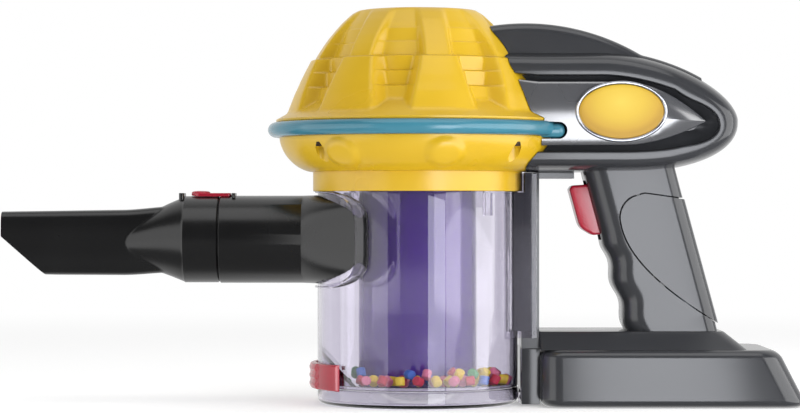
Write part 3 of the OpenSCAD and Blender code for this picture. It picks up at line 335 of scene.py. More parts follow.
def badge_lacquer_and_highlight():
    """Gold lacquer on a bare plate with painted light: a painted highlight, pale towards the top middle, and
    painted shade, browner towards its rim.
    """
    material, tree = new_material("gold lacquer with painted highlight and shade")
    place = add(tree, "ShaderNodeTexCoord").outputs["Object"]
    # the painted highlight is centred this far above the badge's middle, in mm
    tall, highlight_lift = 13.0, 4
    centred = add(tree, "ShaderNodeMapping", {
        "Vector": place, "Location": (-BADGE_X / BADGE_RX, 0, -(BADGE_Z + highlight_lift) / tall),
        "Scale": (1000 / BADGE_RX, 0, 1000 / tall)})
    far = add(tree, "ShaderNodeVectorMath", {0: centred.outputs["Vector"]}, operation="LENGTH")
    ramp = add(tree, "ShaderNodeValToRGB", {"Fac": far.outputs["Value"]})
    stops = ramp.color_ramp.elements
    # stops run from the painted highlight's pale gold to the painted shade's brown at the rim
    stops[0].color, stops[1].color = srgb("#d6b944"), srgb("#af8722")
    for position, colour in ((0.5, "#cdab32"), (0.85, "#bf9829")):
        stops.new(position).color = srgb(colour)
    skin = add(tree, "ShaderNodeTexNoise", {"Vector": place, "Scale": 1000 / 0.8, "Detail": 3.0})
    bump = add(tree, "ShaderNodeBump", {
        "Height": skin.outputs["Fac"], "Strength": 0.3, "Distance": 0.01 * MM})
    shader = add(tree, "ShaderNodeBsdfPrincipled", {
        "Base Color": ramp.outputs["Color"], "Roughness": 0.45, "IOR": 1.45,
        "Normal": bump.outputs["Normal"]})
    add(tree, "ShaderNodeOutputMaterial", {"Surface": shader.outputs["BSDF"]})
    return material


# ---------------------------------------------------------------- sizes
# bin: outside, inside, foot, top and the upper face of its floor, and the core in it
BIN_R, BIN_RI, BIN_Z0, BIN_Z1, FLOOR_Z = 42.5, 40.7, 7.3, 95.3, 9.0
CORE_R, CORE_RI, CORE_Z1 = 25, 23.4, 90.8
# duct: pipe, its axis, the joint with the tool, spigot, bore and flare
PIPE_R, PIPE_Z, SEAM_X, SPIGOT_R, BORE_R = 18.5, 69.2, -83.9, 16.2, 14.4
FLARE_X, FLARE_END, SPIGOT_L = -49.0, -21.0, 14
# tool: collar, its end and the mouth
COLLAR_R, COLLAR_X, TIP_X = 18.3, -98.9, -176.0
# cyclone head: skirt, bowl, trim ring and cover, and the room that others leave round it
SKIRT_R, SKIRT_Z0, BOWL_Z0, BOWL_Z1, COVER_Z, COVER_H = 44.4, 89.5, 97.7, 112.3, 118.7, 47.3
RING_R, RING_Z, RING_TUBE = 60.4, 115.5, 3.1
LOBES, LOBE_TURN, HEAD_ROOM = 8, 11, 0.45
# ends of the trim ring in the side panels: tube, reach along x, side and drop
END_TUBE, END_X0, END_X1, END_Y, END_DROP = 3.0, 49, 58.0, 27.2, 0.9
# housing: its heights, reach and half width, and the curves of its lower and upper edge
NOSE_Z, HOUSE_Z0, HOUSE_Z1, REACH, HALF_W = 119.0, 97.6, 148.2, 134.5, 28.0
LOW_X, LOW_RX, LOW_RZ, LOW_POWER = 85, 49.5, 21.4, 2.3
TOP_X, TOP_RX, TOP_RZ, TOP_POWER = 77, 57.5, 29.2, 1.7
SPINE_HALF, SPINE_ROUND, ARCH_X, ARCH_Z, ARCH_R = 19, 4, 45.0, 64.9, 95.0
BADGE_X, BADGE_Z, BADGE_RX, BADGE_RZ = 84.0, 122.4, 17.6, 11.2
# grip: foot, lean, half width, wall and the rounding of its front and rear
PLINTH_Z0, PLINTH_Z1 = 23.5, 30.9
GRIP_X, LEAN, GRIP_HALF, GRIP_WALL = 87.8, math.radians(15.2), 16.7, 1.9
GRIP_FRONT, GRIP_REAR = 9.5, 5.0
GRIP_L = (HOUSE_Z0 - PLINTH_Z1) / math.cos(LEAN)
# pack: front, rear and half width at its foot, height, lean of rear and sides, edge
PACK_X0, PACK_X1, PACK_HALF, PACK_H = 51.0, 162.0, 32.0, 23.5
PACK_REAR_LEAN, PACK_SIDE_LEAN, PACK_EDGE = 12.0, 1.5, 3.6
# half the width of a cutter that goes through both sides
PAST_SIDES = 40
# trigger: its top and foot along the grip
TRIGGER_V1 = GRIP_L - 5.4
TRIGGER_V0 = TRIGGER_V1 - 21.8


def in_grip(u, y, v):
    """A point of the grip's leaning frame: u to the rear, v up along the lean."""
    return (GRIP_X + u * math.cos(LEAN) - v * math.sin(LEAN), y,
            PLINTH_Z1 + u * math.sin(LEAN) + v * math.cos(LEAN))


# ---------------------------------------------------------------- cyclone head
# height over the cover's foot and radius: between the lobes, on their lower and on their upper part
VALLEY = np.array([(0, 50), (7.1, 47.6), (13.7, 45.0), (14.4, 42.9), (20.0, 42.3), (20.7, 40.4), (26.3, 39.9),
                   (27.0, 37.7), (32.3, 35.2), (32.9, 34.5), (38.2, 32.6), (38.8, 32.0), (40.9, 30.7),
                   (46.4, 26.3), (47.3, 25.0)])
LOW_RIDGE = np.array([(0, 57), (4.6, 55), (8, 53.7), (11.4, 52.4), (14.8, 50.8), (18.2, 49.3), (21.6, 47.6),
                      (25, 45.8), (26.4, 45.0)])
HIGH_RIDGE = np.array([(26, 43.8), (28.4, 42.5), (31.8, 40.3), (35.2, 37.9), (38.6, 35.1), (42, 32.1),
                       (45.4, 28.4), (46.4, 27.0), (47.3, 25.0)])


def dome_radius(angle, h):
    """Radius of the cover at an angle (array, radians) and a height h over its foot."""
    valley = np.interp(h, VALLEY[:, 0], VALLEY[:, 1])
    step_low, step_high = 25.9, 26.6
    step = smoothstep(h, step_low, step_high)
    ridge = (1 - step) * np.interp(h, LOW_RIDGE[:, 0], LOW_RIDGE[:, 1]) \
        + step * np.interp(h, HIGH_RIDGE[:, 0], HIGH_RIDGE[:, 1])
    face = (1 - step) * np.interp(h, (0, 5, 26.4), (15.2, 13.4, 7.4)) \
        + step * np.interp(h, (26, 46), (5.6, 4.4))
    cheek = (1 - step) * np.interp(h, (0, 26.4), (4.4, 3.0)) + 2.6 * step
    pitch = 2 * math.pi / LOBES
    off = (angle - math.radians(LOBE_TURN - 90) + pitch / 2) % pitch - pitch / 2
    # a flat face with soft shoulders and sloping cheeks
    rise, crisp = (face + cheek - np.abs(ridge * np.sin(off))) / cheek, 10
    rise = np.where(rise < 0.5, np.log1p(np.exp(crisp * rise)) / crisp,
                    1 - np.log1p(np.exp(crisp * (1 - rise))) / crisp)
    lobe = valley + max(0.0, ridge - valley) * np.clip(rise, 0, 1)
    rim, brim, fall, run = 60.0, 1.1, 12.4, 6.8
    flange = rim if h <= brim else rim - (h - brim) * fall / run
    wall = np.maximum(lobe, flange)
    # a small fillet where the lobes rise out of the flange
    fillet = 0.8
    near = fillet - np.minimum(fillet, np.abs(lobe - flange))
    return wall + near * near / (4 * fillet)


def dome_heights():
    """Heights of the cover's rows: close together at the steps between the lobes."""
    marks = [13.7, 14.4, 20.0, 20.7, 26.3, 27.0, 32.3, 32.9, 38.2, 38.8]
    fine = [m + d for m in marks for d in (-0.35, -0.12, 0.12, 0.35)] + marks
    fine += [25.8, 26.1, 26.45, 26.6]
    plain = list(np.linspace(1.4, 46.6, 62))
    return [0.0, 0.15, 0.9, 1.1] + sorted(set(round(h, 2) for h in fine + plain)) + [46.9, 47.15]


def cover_rows(sides, grow=0.0, hollow=True):
    """Rows of the cover from its foot to its top, and back down inside where it is hollow."""
    angles = full_turn(sides)
    rows = []
    for h in dome_heights():
        r = dome_radius(angles, h) + grow - (0.15 if h == 0.0 else 0)
        rows.append([(a, b, COVER_Z + h) for a, b in zip(r * np.cos(angles), r * np.sin(angles))])
    top = [(24.4, 47.28), (23.6, COVER_H), (14, COVER_H), (0, COVER_H)]
    inside = [(0, 45), (22, 45), (24.6, 42.4), (35.5, 26.5), (46.5, 4), (52, 1.2), (52, 0)]
    return rows + [hoop(r, COVER_Z + h, angles) for r, h in top + (inside if hollow else [])]


HEAD_SIDES = 448
cover = mesh_piece("cyclone_cover_shell", ring_grid(cover_rows(HEAD_SIDES), close=True))
put(cover, yellow_abs, "body", "yellow_plastic", "cyclone_cover", sharp=50)


def bowl_profile(grow=0.0):
    """Outside of the bowl and its skirt, from below."""
    skirt = rounded([(43.6 + grow, SKIRT_Z0), (SKIRT_R + grow, SKIRT_Z0, 0.7), (SKIRT_R + grow, BOWL_Z0)], 4)
    return skirt[1:-1] + superellipse((SKIRT_R, BOWL_Z1), (14.2 + grow, 14.6 + grow), 1.75, -90, 0, 40)


def boss_swell(angles, r, z):
    """How far the soft bosses under the lobes stand out of the bowl at a radius and a height."""
    boss_z, half_long, half_tall, rise = 105.2, 8.6, 6.2, 1.5
    swell = np.zeros(len(angles))
    for i in range(LOBES):
        a = math.radians(LOBE_TURN - 90 + 360 / LOBES * i)
        # none towards the housing, and none straight over the duct
        if math.cos(a) < 0.6 and abs(math.sin(a)) > 0.5:
            side = r * ((angles - a + math.pi) % (2 * math.pi) - math.pi)
            far = (side / half_long) ** 2 + ((z - boss_z) / half_tall) ** 2
            swell += rise * smoothstep(1.15 - far, 0, 0.9)
    return swell


def bowl_mesh(sides):
    """The bowl and its skirt, with the bosses, closed along the inside."""
    angles = full_turn(sides)
    outside = [(42.8, SKIRT_Z0)] + bowl_profile()
    inside = [(57.0, BOWL_Z1), (57.0, COVER_Z), (55.0, COVER_Z), (55.0, BOWL_Z1), (51.0, BOWL_Z1 - 1.0),
              (51.0, BOWL_Z1 - 3.0), (44.0, BOWL_Z0 + 3.0), (42.8, BOWL_Z0 - 2.0)]
    rows, last = [], len(outside) - 1
    for k, (r, z) in enumerate(outside):
        swell = boss_swell(angles, r, z) if z > BOWL_Z0 and 0 < k < last else np.zeros(sides)
        slope = np.array(outside[min(k + 1, last)]) - np.array(outside[max(k - 1, 0)])
        slope = slope / np.linalg.norm(slope)
        rr, zz = r + swell * slope[1], z - swell * slope[0]
        rows.append(list(zip(rr * np.cos(angles), rr * np.sin(angles), zz)))
    return ring_grid(rows + [hoop(r, z, angles) for r, z in inside], close=True)


bowl = mesh_piece("cyclone_bowl_shell", bowl_mesh(HEAD_SIDES))
# four wells for the screws that hold the cover
DIAGONALS = [math.radians(45 + 90 * quarter) for quarter in range(4)]
well_at, well_profile, wells = 55.7, [(0, 88), (2.8, 88), (2.8, 107.6), (2.2, 108.1), (0, 108.1)], []
for a in DIAGONALS:
    points, faces = lathe(well_profile, 32, close=False)
    wells.append(([(x + well_at * math.cos(a), y + well_at * math.sin(a), z) for x, y, z in points], faces))
well_cutter = mesh_piece("screw_wells", *wells)
cut(bowl, well_cutter)
discard(well_cutter)
put(bowl, yellow_abs, "body", "yellow_plastic", "cyclone_bowl", sharp=40)

ring_ends = []
for side in (-1, 1):
    tip = [(END_TUBE * math.cos(t), END_X1 + END_TUBE * math.sin(t)) for t in quarter_turn(12)]
    points, faces = lathe([(0, END_X0), (END_TUBE, END_X0)] + tip, 40, close=False)
    ring_ends.append(([(c, side * END_Y + a, RING_Z - END_DROP + b) for a, b, c in points], faces))
ring_profile = [(RING_R + RING_TUBE * math.cos(t), RING_Z + RING_TUBE * math.sin(t)) for t in full_turn(48)]
trim_ring = mesh_piece("trim_ring_round", lathe(ring_profile, 256), *ring_ends)
put(trim_ring, teal_abs, "body", "teal_plastic", "trim_ring", sharp=60)

# room of the head, taken out of what stands against it
room_sides = 192
room_profile = [(0, 86), (44.9, 86)] + bowl_profile(HEAD_ROOM)[1:]
room_profile += [(63.9, 113), (63.9, 118.2), (60.6, 118.3)]
room_rows = [hoop(r, z, full_turn(room_sides)) for r, z in room_profile]
room_rows += cover_rows(room_sides, grow=HEAD_ROOM, hollow=False)
head_cutter = mesh_piece("head_room", ring_grid(room_rows))


# ---------------------------------------------------------------- housing
OUTLINE = [(x, HOUSE_Z0) for x in (12.0, 40, 60, 75)] \
    + superellipse((LOW_X, NOSE_Z), (LOW_RX, LOW_RZ), LOW_POWER, -90, 0, 40) \
    + superellipse((TOP_X, NOSE_Z), (TOP_RX, TOP_RZ), TOP_POWER, 0, 90, 52)[1:] \
    + [(x, HOUSE_Z1) for x in (65, 50, 30, 12.0)]


def lip_inset(z):
    """How far the groove's edge lies in from the side outline."""
    foot, foot_gain, nose, top_gain, top_run = 7.7, 1.7, 9.4, 0.6, 16
    if z < NOSE_Z:
        return foot + foot_gain * ((z - HOUSE_Z0) / LOW_RZ) ** 3
    return nose + top_gain * min(1, (z - NOSE_Z) / top_run)


def to_spine(p, x1, z):
    """From a point of the side to the nearest point in x of a level line at z, which ends at x1."""
    x0 = 45.0
    return np.array((min(max(p[0], x0), x1), z)) - np.array(p)


def moved_in(p, d):
    """A point of the outline, moved in by d."""
    s = to_spine(p, 106.5, NOSE_Z)
    return tuple(np.array(p) + s * (d / np.linalg.norm(s)))


def side_rows(profile, side):
    """Rows of the housing's side: inset as a share of the groove's, extra inset, and y."""
    rows = []
    for share, extra, y in profile:
        row = []
        for p in OUTLINE:
            m = moved_in(p, share * lip_inset(p[1]) + extra)
            row.append((m[0], side * y, m[1]))
        rows.append(row)
    return rows


# the housing's halves stop this far from the middle plane
SEAM_GAP = 0.04
flank, flank_steps, flank_power = [], 18, 3.2
for k in range(1, flank_steps + 1):
    a = math.radians(90 * k / flank_steps)
    flank.append((1 - math.cos(a) ** (2 / flank_power), 0.0, HALF_W * math.sin(a) ** (2 / flank_power)))
groove = [(1, 0.25, 27.95), (1, 0.5, 27.7), (1, 0.62, 27.2), (1, 0.8, 24.1), (1, 1.0, 23.6), (1, 4.0, 21.4),
          (1, 8.5, 19.0)]


def panel_edge():
    """Side outline of the teardrop panel: along the groove, then a lens with a point."""
    gap, lens_x, lens_long, power = 3.2, 85, 34.4, 1.9
    point_z, top_z, low_z = 118.4, 135.0, 108.5
    edge = []
    for p in OUTLINE:
        m = moved_in(p, lip_inset(p[1]) + gap)
        if p[0] > lens_x:
            t = (p[0] - lens_x) / (REACH - lens_x)
            high = (top_z if p[1] > NOSE_Z else low_z) - point_z
            m = (lens_x + lens_long * t, point_z + high * (1 - t ** power))
        edge.append(m)
    return edge


def panel_rows(side):
    """The panel: a wall out of the groove, then a long soft crown. Each row has its inset in mm,
    its share of the way to the middle, and y."""
    brow, brow_y, crown = 0.45, 28.3, 2.2
    profile = [(0, 0, 20.0), (0, 0, 27.4), (0.12, 0, 27.9), (brow, 0, brow_y)]
    for t in (0.06, 0.14, 0.24, 0.36, 0.5, 0.64, 0.78, 0.9, 0.97):
        profile.append((brow, t, brow_y + crown * (1 - (1 - t) ** 2.2)))
    edge, rows = panel_edge(), []
    for drop, t, y in profile:
        row = []
        for p in edge:
            s = to_spine(p, 100.0, 119.5)
            m = np.array(p) + s * (t + (1 - t) * drop / np.linalg.norm(s))
            row.append((m[0], side * y, m[1]))
        rows.append(row)
    return rows


def oval_rows(profile, side):
    """Rows of an oval on the badge's place: distance out from its edge, and y."""
    return [[(BADGE_X + (BADGE_RX + g) * math.cos(t), side * y, BADGE_Z + (BADGE_RZ + g) * math.sin(t))
             for t in full_turn(96)] for g, y in profile]


# slots for the ends of the trim ring, through both sides
slot_x, slot_half = 30.0, 3.5
slot_nose = [(RING_R + slot_half * math.cos(t), RING_Z + slot_half * math.sin(t))
             for t in np.linspace(-math.pi / 2, math.pi / 2, 25)]
slot_outline = [(slot_x, RING_Z - slot_half)] + slot_nose + [(slot_x, RING_Z + slot_half)]
ring_slot = mesh_piece("ring_slot", prism(slot_outline, -PAST_SIDES, PAST_SIDES))
panel_slot = mesh_piece("panel_slot", prism([(x - 2.2, z - END_DROP) for x, z in slot_outline],
                                            -PAST_SIDES, PAST_SIDES))
rim_profile = [(0.0, 26.5), (1.5, 26.5), (1.5, 30.5), (1.3, 30.95), (0.95, 31.15), (0.55, 31.1), (0.2, 30.85),
               (0.0, 30.4)]
plate_y, plate_crown = 30.62, 0.12
plate_profile = [(-0.08, 27.0), (-0.08, 30.5), (-0.4, plate_y)]
plate_profile += [(-g, plate_y + plate_crown * (1 - (1 - g / 11) ** 2)) for g in (1.5, 3, 5, 7, 9, 10.6)]
gold = badge_lacquer_and_highlight()
for side, word in ((-1, "left"), (1, "right")):
    half = mesh_piece("housing_shell_" + word, ring_grid(
        [[(x, side * SEAM_GAP, z) for x, z in OUTLINE]] + side_rows(flank + groove, side), caps=True))
    cut(half, head_cutter)
    cut(half, ring_slot)
    put(half, grey_abs, "body", "grey_plastic", "housing_" + word, sharp=32)
    panel = mesh_piece("trim_panel_crown_" + word, ring_grid(panel_rows(side), caps=True))
    cut(panel, head_cutter)
    cut(panel, panel_slot)
    put(panel, panel_lacquer, "body", "panel_plastic", "trim_panel_" + word, sharp=40)
    rim = mesh_piece("badge_rim_" + word, ring_grid(oval_rows(rim_profile, side), close=True))
    put(rim, silver_trim, "body", "silver_trim", "badge_bezel_" + word, sharp=50)
    plate = mesh_piece("badge_plate_" + word, ring_grid(oval_rows(plate_profile, side), caps=True))
    put(plate, gold, "body", "badge_yellow", "badge_" + word, sharp=50)


def roof(x):
    """Height of the housing's top outline at x."""
    if x <= TOP_X:
        return HOUSE_Z1
    return NOSE_Z + TOP_RZ * (1 - min(1.0, ((x - TOP_X) / TOP_RX) ** TOP_POWER)) ** (1 / TOP_POWER)


spine_rows = []
for x in np.linspace(10, 118.6, 90):
    arch = ARCH_Z + math.sqrt(ARCH_R ** 2 - (x - ARCH_X) ** 2)
    top = max(arch, roof(x) + 0.45)
    low = min(arch, roof(x)) - 5
    y, z = SPINE_HALF - SPINE_ROUND, top - SPINE_ROUND
    arc = [(y + SPINE_ROUND * math.cos(t), z + SPINE_ROUND * math.sin(t)) for t in quarter_turn(9)]
    half = [(SPINE_HALF, low)] + arc
    spine_rows.append([(x, y, z) for y, z in half] + [(x, -y, z) for y, z in reversed(half)])
spine = mesh_piece("spine_cap_shell", ring_grid(spine_rows, caps=True))
cut(spine, head_cutter)
put(spine, grey_abs, "body", "grey_plastic", "spine_cap", sharp=35)


# ---------------------------------------------------------------- duct and crevice tool
def half_step_turn(sides):
    """Angles once round that start half a step on, so that no point lies on an axis."""
    return [2 * math.pi * (k + 0.5) / sides for k in range(sides)]


def pipe_ring(x, r, sides=96):
    """A round ring of the pipe."""
    return [(x, r * math.cos(t), PIPE_Z + r * math.sin(t)) for t in half_step_turn(sides)]


def flare_ring(x, half_y, half_z, power, sides=96):
    """A ring of the flare: a superellipse, round at power 2 and boxier above."""
    row = []
    for t in half_step_turn(sides):
        r = (abs(math.cos(t) / half_y) ** power + abs(math.sin(t) / half_z) ** power) ** (-1 / power)
        row.append((x, r * math.cos(t), PIPE_Z + r * math.sin(t)))
    return row


duct_rows = [pipe_ring(x, r) for x, r in (
    (SEAM_X - SPIGOT_L, BORE_R), (SEAM_X - SPIGOT_L, SPIGOT_R - 0.6), (SEAM_X - SPIGOT_L + 0.6, SPIGOT_R),
    (SEAM_X, SPIGOT_R), (SEAM_X, PIPE_R - 0.5), (SEAM_X + 0.5, PIPE_R), (FLARE_X, PIPE_R))]
# out along the flare, then back along its bore: each grows wider than tall, and boxier
for t in np.linspace(0.04, 1.0, 25):
    duct_rows.append(flare_ring(FLARE_X + (FLARE_END - FLARE_X) * t, PIPE_R + 18.9 * t, PIPE_R + 0.8 * t,
                                2 + 5 * t))
bore_x = FLARE_X + 2
for t in (1.0, 0.5, 0.0):
    duct_rows.append(flare_ring(bore_x + (FLARE_END - bore_x) * t, BORE_R + 20.4 * t, BORE_R + 2.9 * t,
                                2 + 4 * t))
duct = mesh_piece("inlet_duct_pipe", ring_grid(duct_rows, close=True))
plug_r = BIN_R + 0.2
bin_plug = mesh_piece("bin_plug", lathe([(0, 20), (plug_r, 20), (plug_r, 120), (0, 120)], 192, close=False))
cut(duct, bin_plug)
discard(bin_plug)
put(duct, black_abs, "body", "black_plastic", "inlet_duct", sharp=35)


def tool_radius(t, x, inset):
    """Outside of the tool at angle t: a cone from the collar grown into a flat blade."""
    half_y, half_z, boxy, taper = 8.0, 14.1, 4.6, 0.75
    drop = taper * max(0.0, COLLAR_X - x) / (COLLAR_X - TIP_X)
    a, b = half_y - inset, half_z - inset - drop
    blade = (abs(math.cos(t) / a) ** boxy + abs(math.sin(t) / b) ** boxy) ** (-1 / boxy)
    cone_r, cone_slope = 18.0, 0.41
    cone = cone_r - inset - cone_slope * (COLLAR_X - x)
    return max(blade, cone), drop


TOOL_SIDES, TOOL_WALL = 144, 2.0


def tool_row(x, inset):
    """A row of the tool. The last one slants back below, as its mouth does."""
    mouth_slope, mouth_z, deepest = 1.14, 2.9, 1.2
    row = []
    for t in half_step_turn(TOOL_SIDES):
        r, drop = tool_radius(t, x, inset)
        z = r * math.sin(t)
        end = x if x > TIP_X + 0.5 else x + mouth_slope * max(0.0, mouth_z - z)
        sink = deepest * float(smoothstep(COLLAR_X - x, 4, 26))
        row.append((end, r * math.cos(t), PIPE_Z - 0.5 * drop - sink + z))
    return row


stations = list(np.linspace(COLLAR_X, COLLAR_X - 27, 37))
stations += list(np.linspace(COLLAR_X - 31, TIP_X + 24, 8)) + [TIP_X]
socket_r, collar_front = SPIGOT_R + 0.06, SEAM_X - 0.3
tool_rows = [pipe_ring(x, r, TOOL_SIDES) for x, r in (
    (SEAM_X - 14.5, socket_r), (collar_front, socket_r), (collar_front, COLLAR_R - 0.4),
    (SEAM_X - 0.7, COLLAR_R), (COLLAR_X + 0.3, COLLAR_R))]
tool_rows += [tool_row(x, 0) for x in stations]
tool_rows += [tool_row(x, TOOL_WALL) for x in reversed(stations)]
tool = mesh_piece("crevice_tool_shell", ring_grid(tool_rows, close=True))


def slab(outline, z0, z1, edge):
    """A plan outline of (x, y) from z0 to z1 with a rounded top edge."""
    c = np.mean(np.array(outline), 0)
    rows = []
    for inset, z in ((0, z0), (0, z1 - edge), (0.13 * edge, z1 - 0.5 * edge), (0.5 * edge, z1 - 0.13 * edge),
                     (edge, z1)):
        row = []
        for x, y in outline:
            d = np.array((x, y)) - c
            f = 1 - inset / max(np.abs(d).max(), 1e-6)
            row.append((c[0] + d[0] * f, c[1] + d[1] * f, z))
        rows.append(row)
    return ring_grid(rows, caps=True)


def tube(x0, x1, r, sides):
    """A thick tube on the pipe's axis, to cut room for the pipe out of what lies on it."""
    bore = 2
    return lathe_x([(r, x0), (r, x1), (bore, x1), (bore, x0)], sides)


# the latch's place on the collar: a lug at either end, and a bridge over the joint under the slider
PIPE_TOP = PIPE_Z + PIPE_R
lug_half, pad_z0, lugs = 6, PIPE_Z + 15.6, []
for x0, x1 in ((SEAM_X - 17.1, SEAM_X - 14.9), (SEAM_X + 5.2, SEAM_X + 6.7)):
    plan = rounded([(x0, -lug_half, 1.0), (x1, -lug_half, 1.0), (x1, lug_half, 1.0), (x0, lug_half, 1.0)], 4)
    lugs.append(slab(plan, pad_z0, PIPE_TOP + 1.1, 0.5))
pad = mesh_piece("latch_pad", *lugs)
bridge_x0, bridge_x1, bridge_half = SEAM_X - 1.5, SEAM_X + 6, 3
bridge_plan = [(bridge_x0, -bridge_half), (bridge_x1, -bridge_half), (bridge_x1, bridge_half),
               (bridge_x0, bridge_half)]
bridge = mesh_piece("latch_bridge", slab(bridge_plan, pad_z0, PIPE_TOP + 0.25, 0.1))
cut(pad, bridge, "UNION")
pipe_room = mesh_piece("pipe_room", tube(SEAM_X - 0.2, SEAM_X + 20, PIPE_R + 0.1, 96))
cut(pad, pipe_room)
bm = bmesh.new()
bm.from_mesh(tool.data)
bm.from_mesh(pad.data)
bm.to_mesh(tool.data)
bm.free()
discard(bridge, pipe_room, pad)
put(tool, black_abs, "crevice_tool", "black_plastic", "crevice_tool", sharp=30)

latch_x0, latch_x1, latch_half = SEAM_X - 12.1, SEAM_X + 4.7, 4
latch_plan = rounded([(latch_x0, -latch_half, 3.9), (latch_x1, -latch_half, 1.0), (latch_x1, latch_half, 1.0),
                      (latch_x0, latch_half, 3.9)], 8)
latch = mesh_piece("latch_slider", slab(latch_plan, PIPE_Z + 16.6, PIPE_TOP + 1.1, 0.3))
thumb_x, thumb_rx, thumb_ry = SEAM_X - 8.1, 4.0, 3.6
thumb_profile = ((1, 0.5), (1, 1.2), (0.97, 1.5), (0.88, 1.75), (0.7, 1.92), (0.4, 2.02), (0.08, 2.05))
thumb_rows = [[(thumb_x + thumb_rx * f * math.cos(t), thumb_ry * f * math.sin(t), PIPE_TOP + z)
               for t in full_turn(40)] for f, z in thumb_profile]
thumb = mesh_piece("latch_bump", ring_grid(thumb_rows, caps=True))
collar_room = mesh_piece("collar_room", tube(SEAM_X - 30, SEAM_X + 20, PIPE_R + 0.12, 144))
cut(latch, thumb, "UNION")
cut(latch, collar_room)
discard(thumb, collar_room)
put(latch, red_abs, "tool_latch", "red_plastic", "tool_latch", sharp=40)


# ---------------------------------------------------------------- bin
def on_bin(radius, half_y, half_z):
    """A rounded rectangle seen along X, laid on the bin's wall at a radius."""
    return [(-math.sqrt(radius ** 2 - y * y), y, z) for _, y, z in flare_ring(0, half_y, half_z, 5.0, 120)]


bin_profile = [(BIN_RI, BIN_Z0), (BIN_R, BIN_Z0, 0.3), (BIN_R, BIN_Z1, 0.3), (BIN_RI, BIN_Z1)]
clear_bin = mesh_piece("clear_bin_wall", lathe(rounded(bin_profile, 3), 256))
# openings for the duct's bore and for the catch's arm
openings = mesh_piece("bin_openings", tube(-60, -20, BORE_R, 96), block(-50, -30, -5.5, 5.5, 8.0, 16.0))
cut(clear_bin, openings)
discard(openings)
# rim round the duct's mouth, two rails at the rear and four lugs inside
mouth_rows = [on_bin(BIN_R + out, half_y, half_z) for out, half_y, half_z in (
    (0.03, 34.7, 19.6), (1.0, 34.7, 19.6), (1.15, 35.1, 19.75), (1.15, 36.8, 20.2), (0.9, 37.3, 20.35),
    (0.03, 37.4, 20.4))]
ribs = [ring_grid(mouth_rows, close=True)]
rail_side = rounded([(39.6, 28.1), (49.6, 28.1, 0.8), (49.6, 96.9, 0.8), (39.6, 96.9)], 4)
for y0, y1 in ((-17.6, -15.8), (15.8, 17.6)):
    ribs.append(prism(rail_side, y0, y1))
lug_plan = rounded([(38.9, -2.4, 0.8), (40.6, -2.4, 0.1), (40.6, 2.4, 0.1), (38.9, 2.4, 0.8)], 3)
for a in DIAGONALS:
    points, faces = slab(lug_plan, 79.3, 88.7, 0.3)
    ribs.append(([(x * math.cos(a) - y * math.sin(a), x * math.sin(a) + y * math.cos(a), z)
                  for x, y, z in points], faces))
bin_ribs = mesh_piece("clear_bin_ribs", *ribs)
put(clear_bin, clear_plastic, "body", "clear_plastic", "clear_bin", sharp=40)
put(bin_ribs, clear_plastic, "body", "clear_plastic", sharp=40)

floor_r = BIN_RI - 0.1
floor_edge = [(39, BIN_Z0), (floor_r, BIN_Z0, 0.3), (floor_r, FLOOR_Z, 0.3), (39, FLOOR_Z)]
bin_floor = mesh_piece("bin_floor_disc", lathe(
    [(0, BIN_Z0)] + rounded(floor_edge, 3) + [(0, FLOOR_Z)], 192, close=False))
put(bin_floor, clear_plastic, "body", "clear_plastic", "bin_floor", sharp=40)
core = mesh_piece("cyclone_core_tube", lathe(rounded(
    [(CORE_RI, FLOOR_Z), (CORE_R, FLOOR_Z, 0.6), (CORE_R, CORE_Z1, 0.6), (CORE_RI, CORE_Z1)], 4), 256))
put(core, purple_abs, "body", "purple_plastic", "cyclone_core", sharp=50)


def barrel(x, z, r, half, edge, sides):
    """A barrel across the object that turns on a pin at (x, z)."""
    bore = 1.06
    points, faces = lathe(rounded([(bore, -half), (r, -half, edge), (r, half, edge), (bore, half)], 4), sides)
    return [(x + a, c, z + b) for a, b, c in points], faces


flap_z1, flap_ri, flap_wall = 7.0, 40.9, 1.7
flap_edge = [(36, 0), (BIN_R, 0, 2.6), (BIN_R, flap_z1, 0.5), (flap_ri, flap_z1, 0.4),
             (flap_ri, flap_wall, 0.8), (36, flap_wall)]
flap_tray = lathe([(0, 0)] + rounded(flap_edge, 7) + [(0, flap_wall)], 256, close=False)
flap = mesh_piece("bin_flap_tray", flap_tray, barrel(45.4, 2.6, 2.4, 7, 0.5, 48),
                  block(42.45, 43.2, -6.8, 6.8, 0.5, 4.6))
put(flap, clear_plastic, "bin_flap", "clear_plastic", "bin_flap", sharp=40)


def catch_rows():
    """Rows of the red rocker: a band round the bin's front with a ridged thumb tab."""
    z0, z1, back_r, seat_r, band_r = 6.4, 17.4, 43.2, 43.4, 45.0
    wrap, edge_round, side_round = math.radians(41), 0.9, 0.8
    angles = math.pi + np.linspace(-wrap, wrap, 97)
    rows = []
    for z in np.linspace(z0, z1, 67):
        edge = min(z - z0, z1 - z)
        front = []
        for a in angles:
            tab = float(smoothstep(abs(band_r * math.sin(a)), 16.6, 15.6))
            ridge = max(math.exp(-((z - c) / 0.85) ** 4) for c in (8.5, 11.9, 15.3))
            r = band_r + tab * (0.6 + 0.35 * ridge)
            # both edges fall away along a quarter of a circle
            side = min(1.0, (wrap - abs(a - math.pi)) * band_r / side_round)
            soft = math.sqrt(max(0.0, 1 - (1 - min(1.0, edge / edge_round)) ** 2)) \
                * math.sqrt(max(0.0, 1 - (1 - side) ** 2))
            r = seat_r + (r - seat_r) * (0.35 + 0.65 * soft)
            front.append((r * math.cos(a), r * math.sin(a), z))
        rows.append(front + hoop(back_r, z, reversed(angles)))
    return rows


catch = mesh_piece("bin_catch_rocker", strip_rows(catch_rows()), barrel(-37.8, 12.0, 2.5, 5, 0.4, 40),
                   block(-43.3, -40.0, -5, 5, 9.6, 14.4))
put(catch, red_abs, "bin_catch", "red_plastic", "bin_catch", sharp=45)

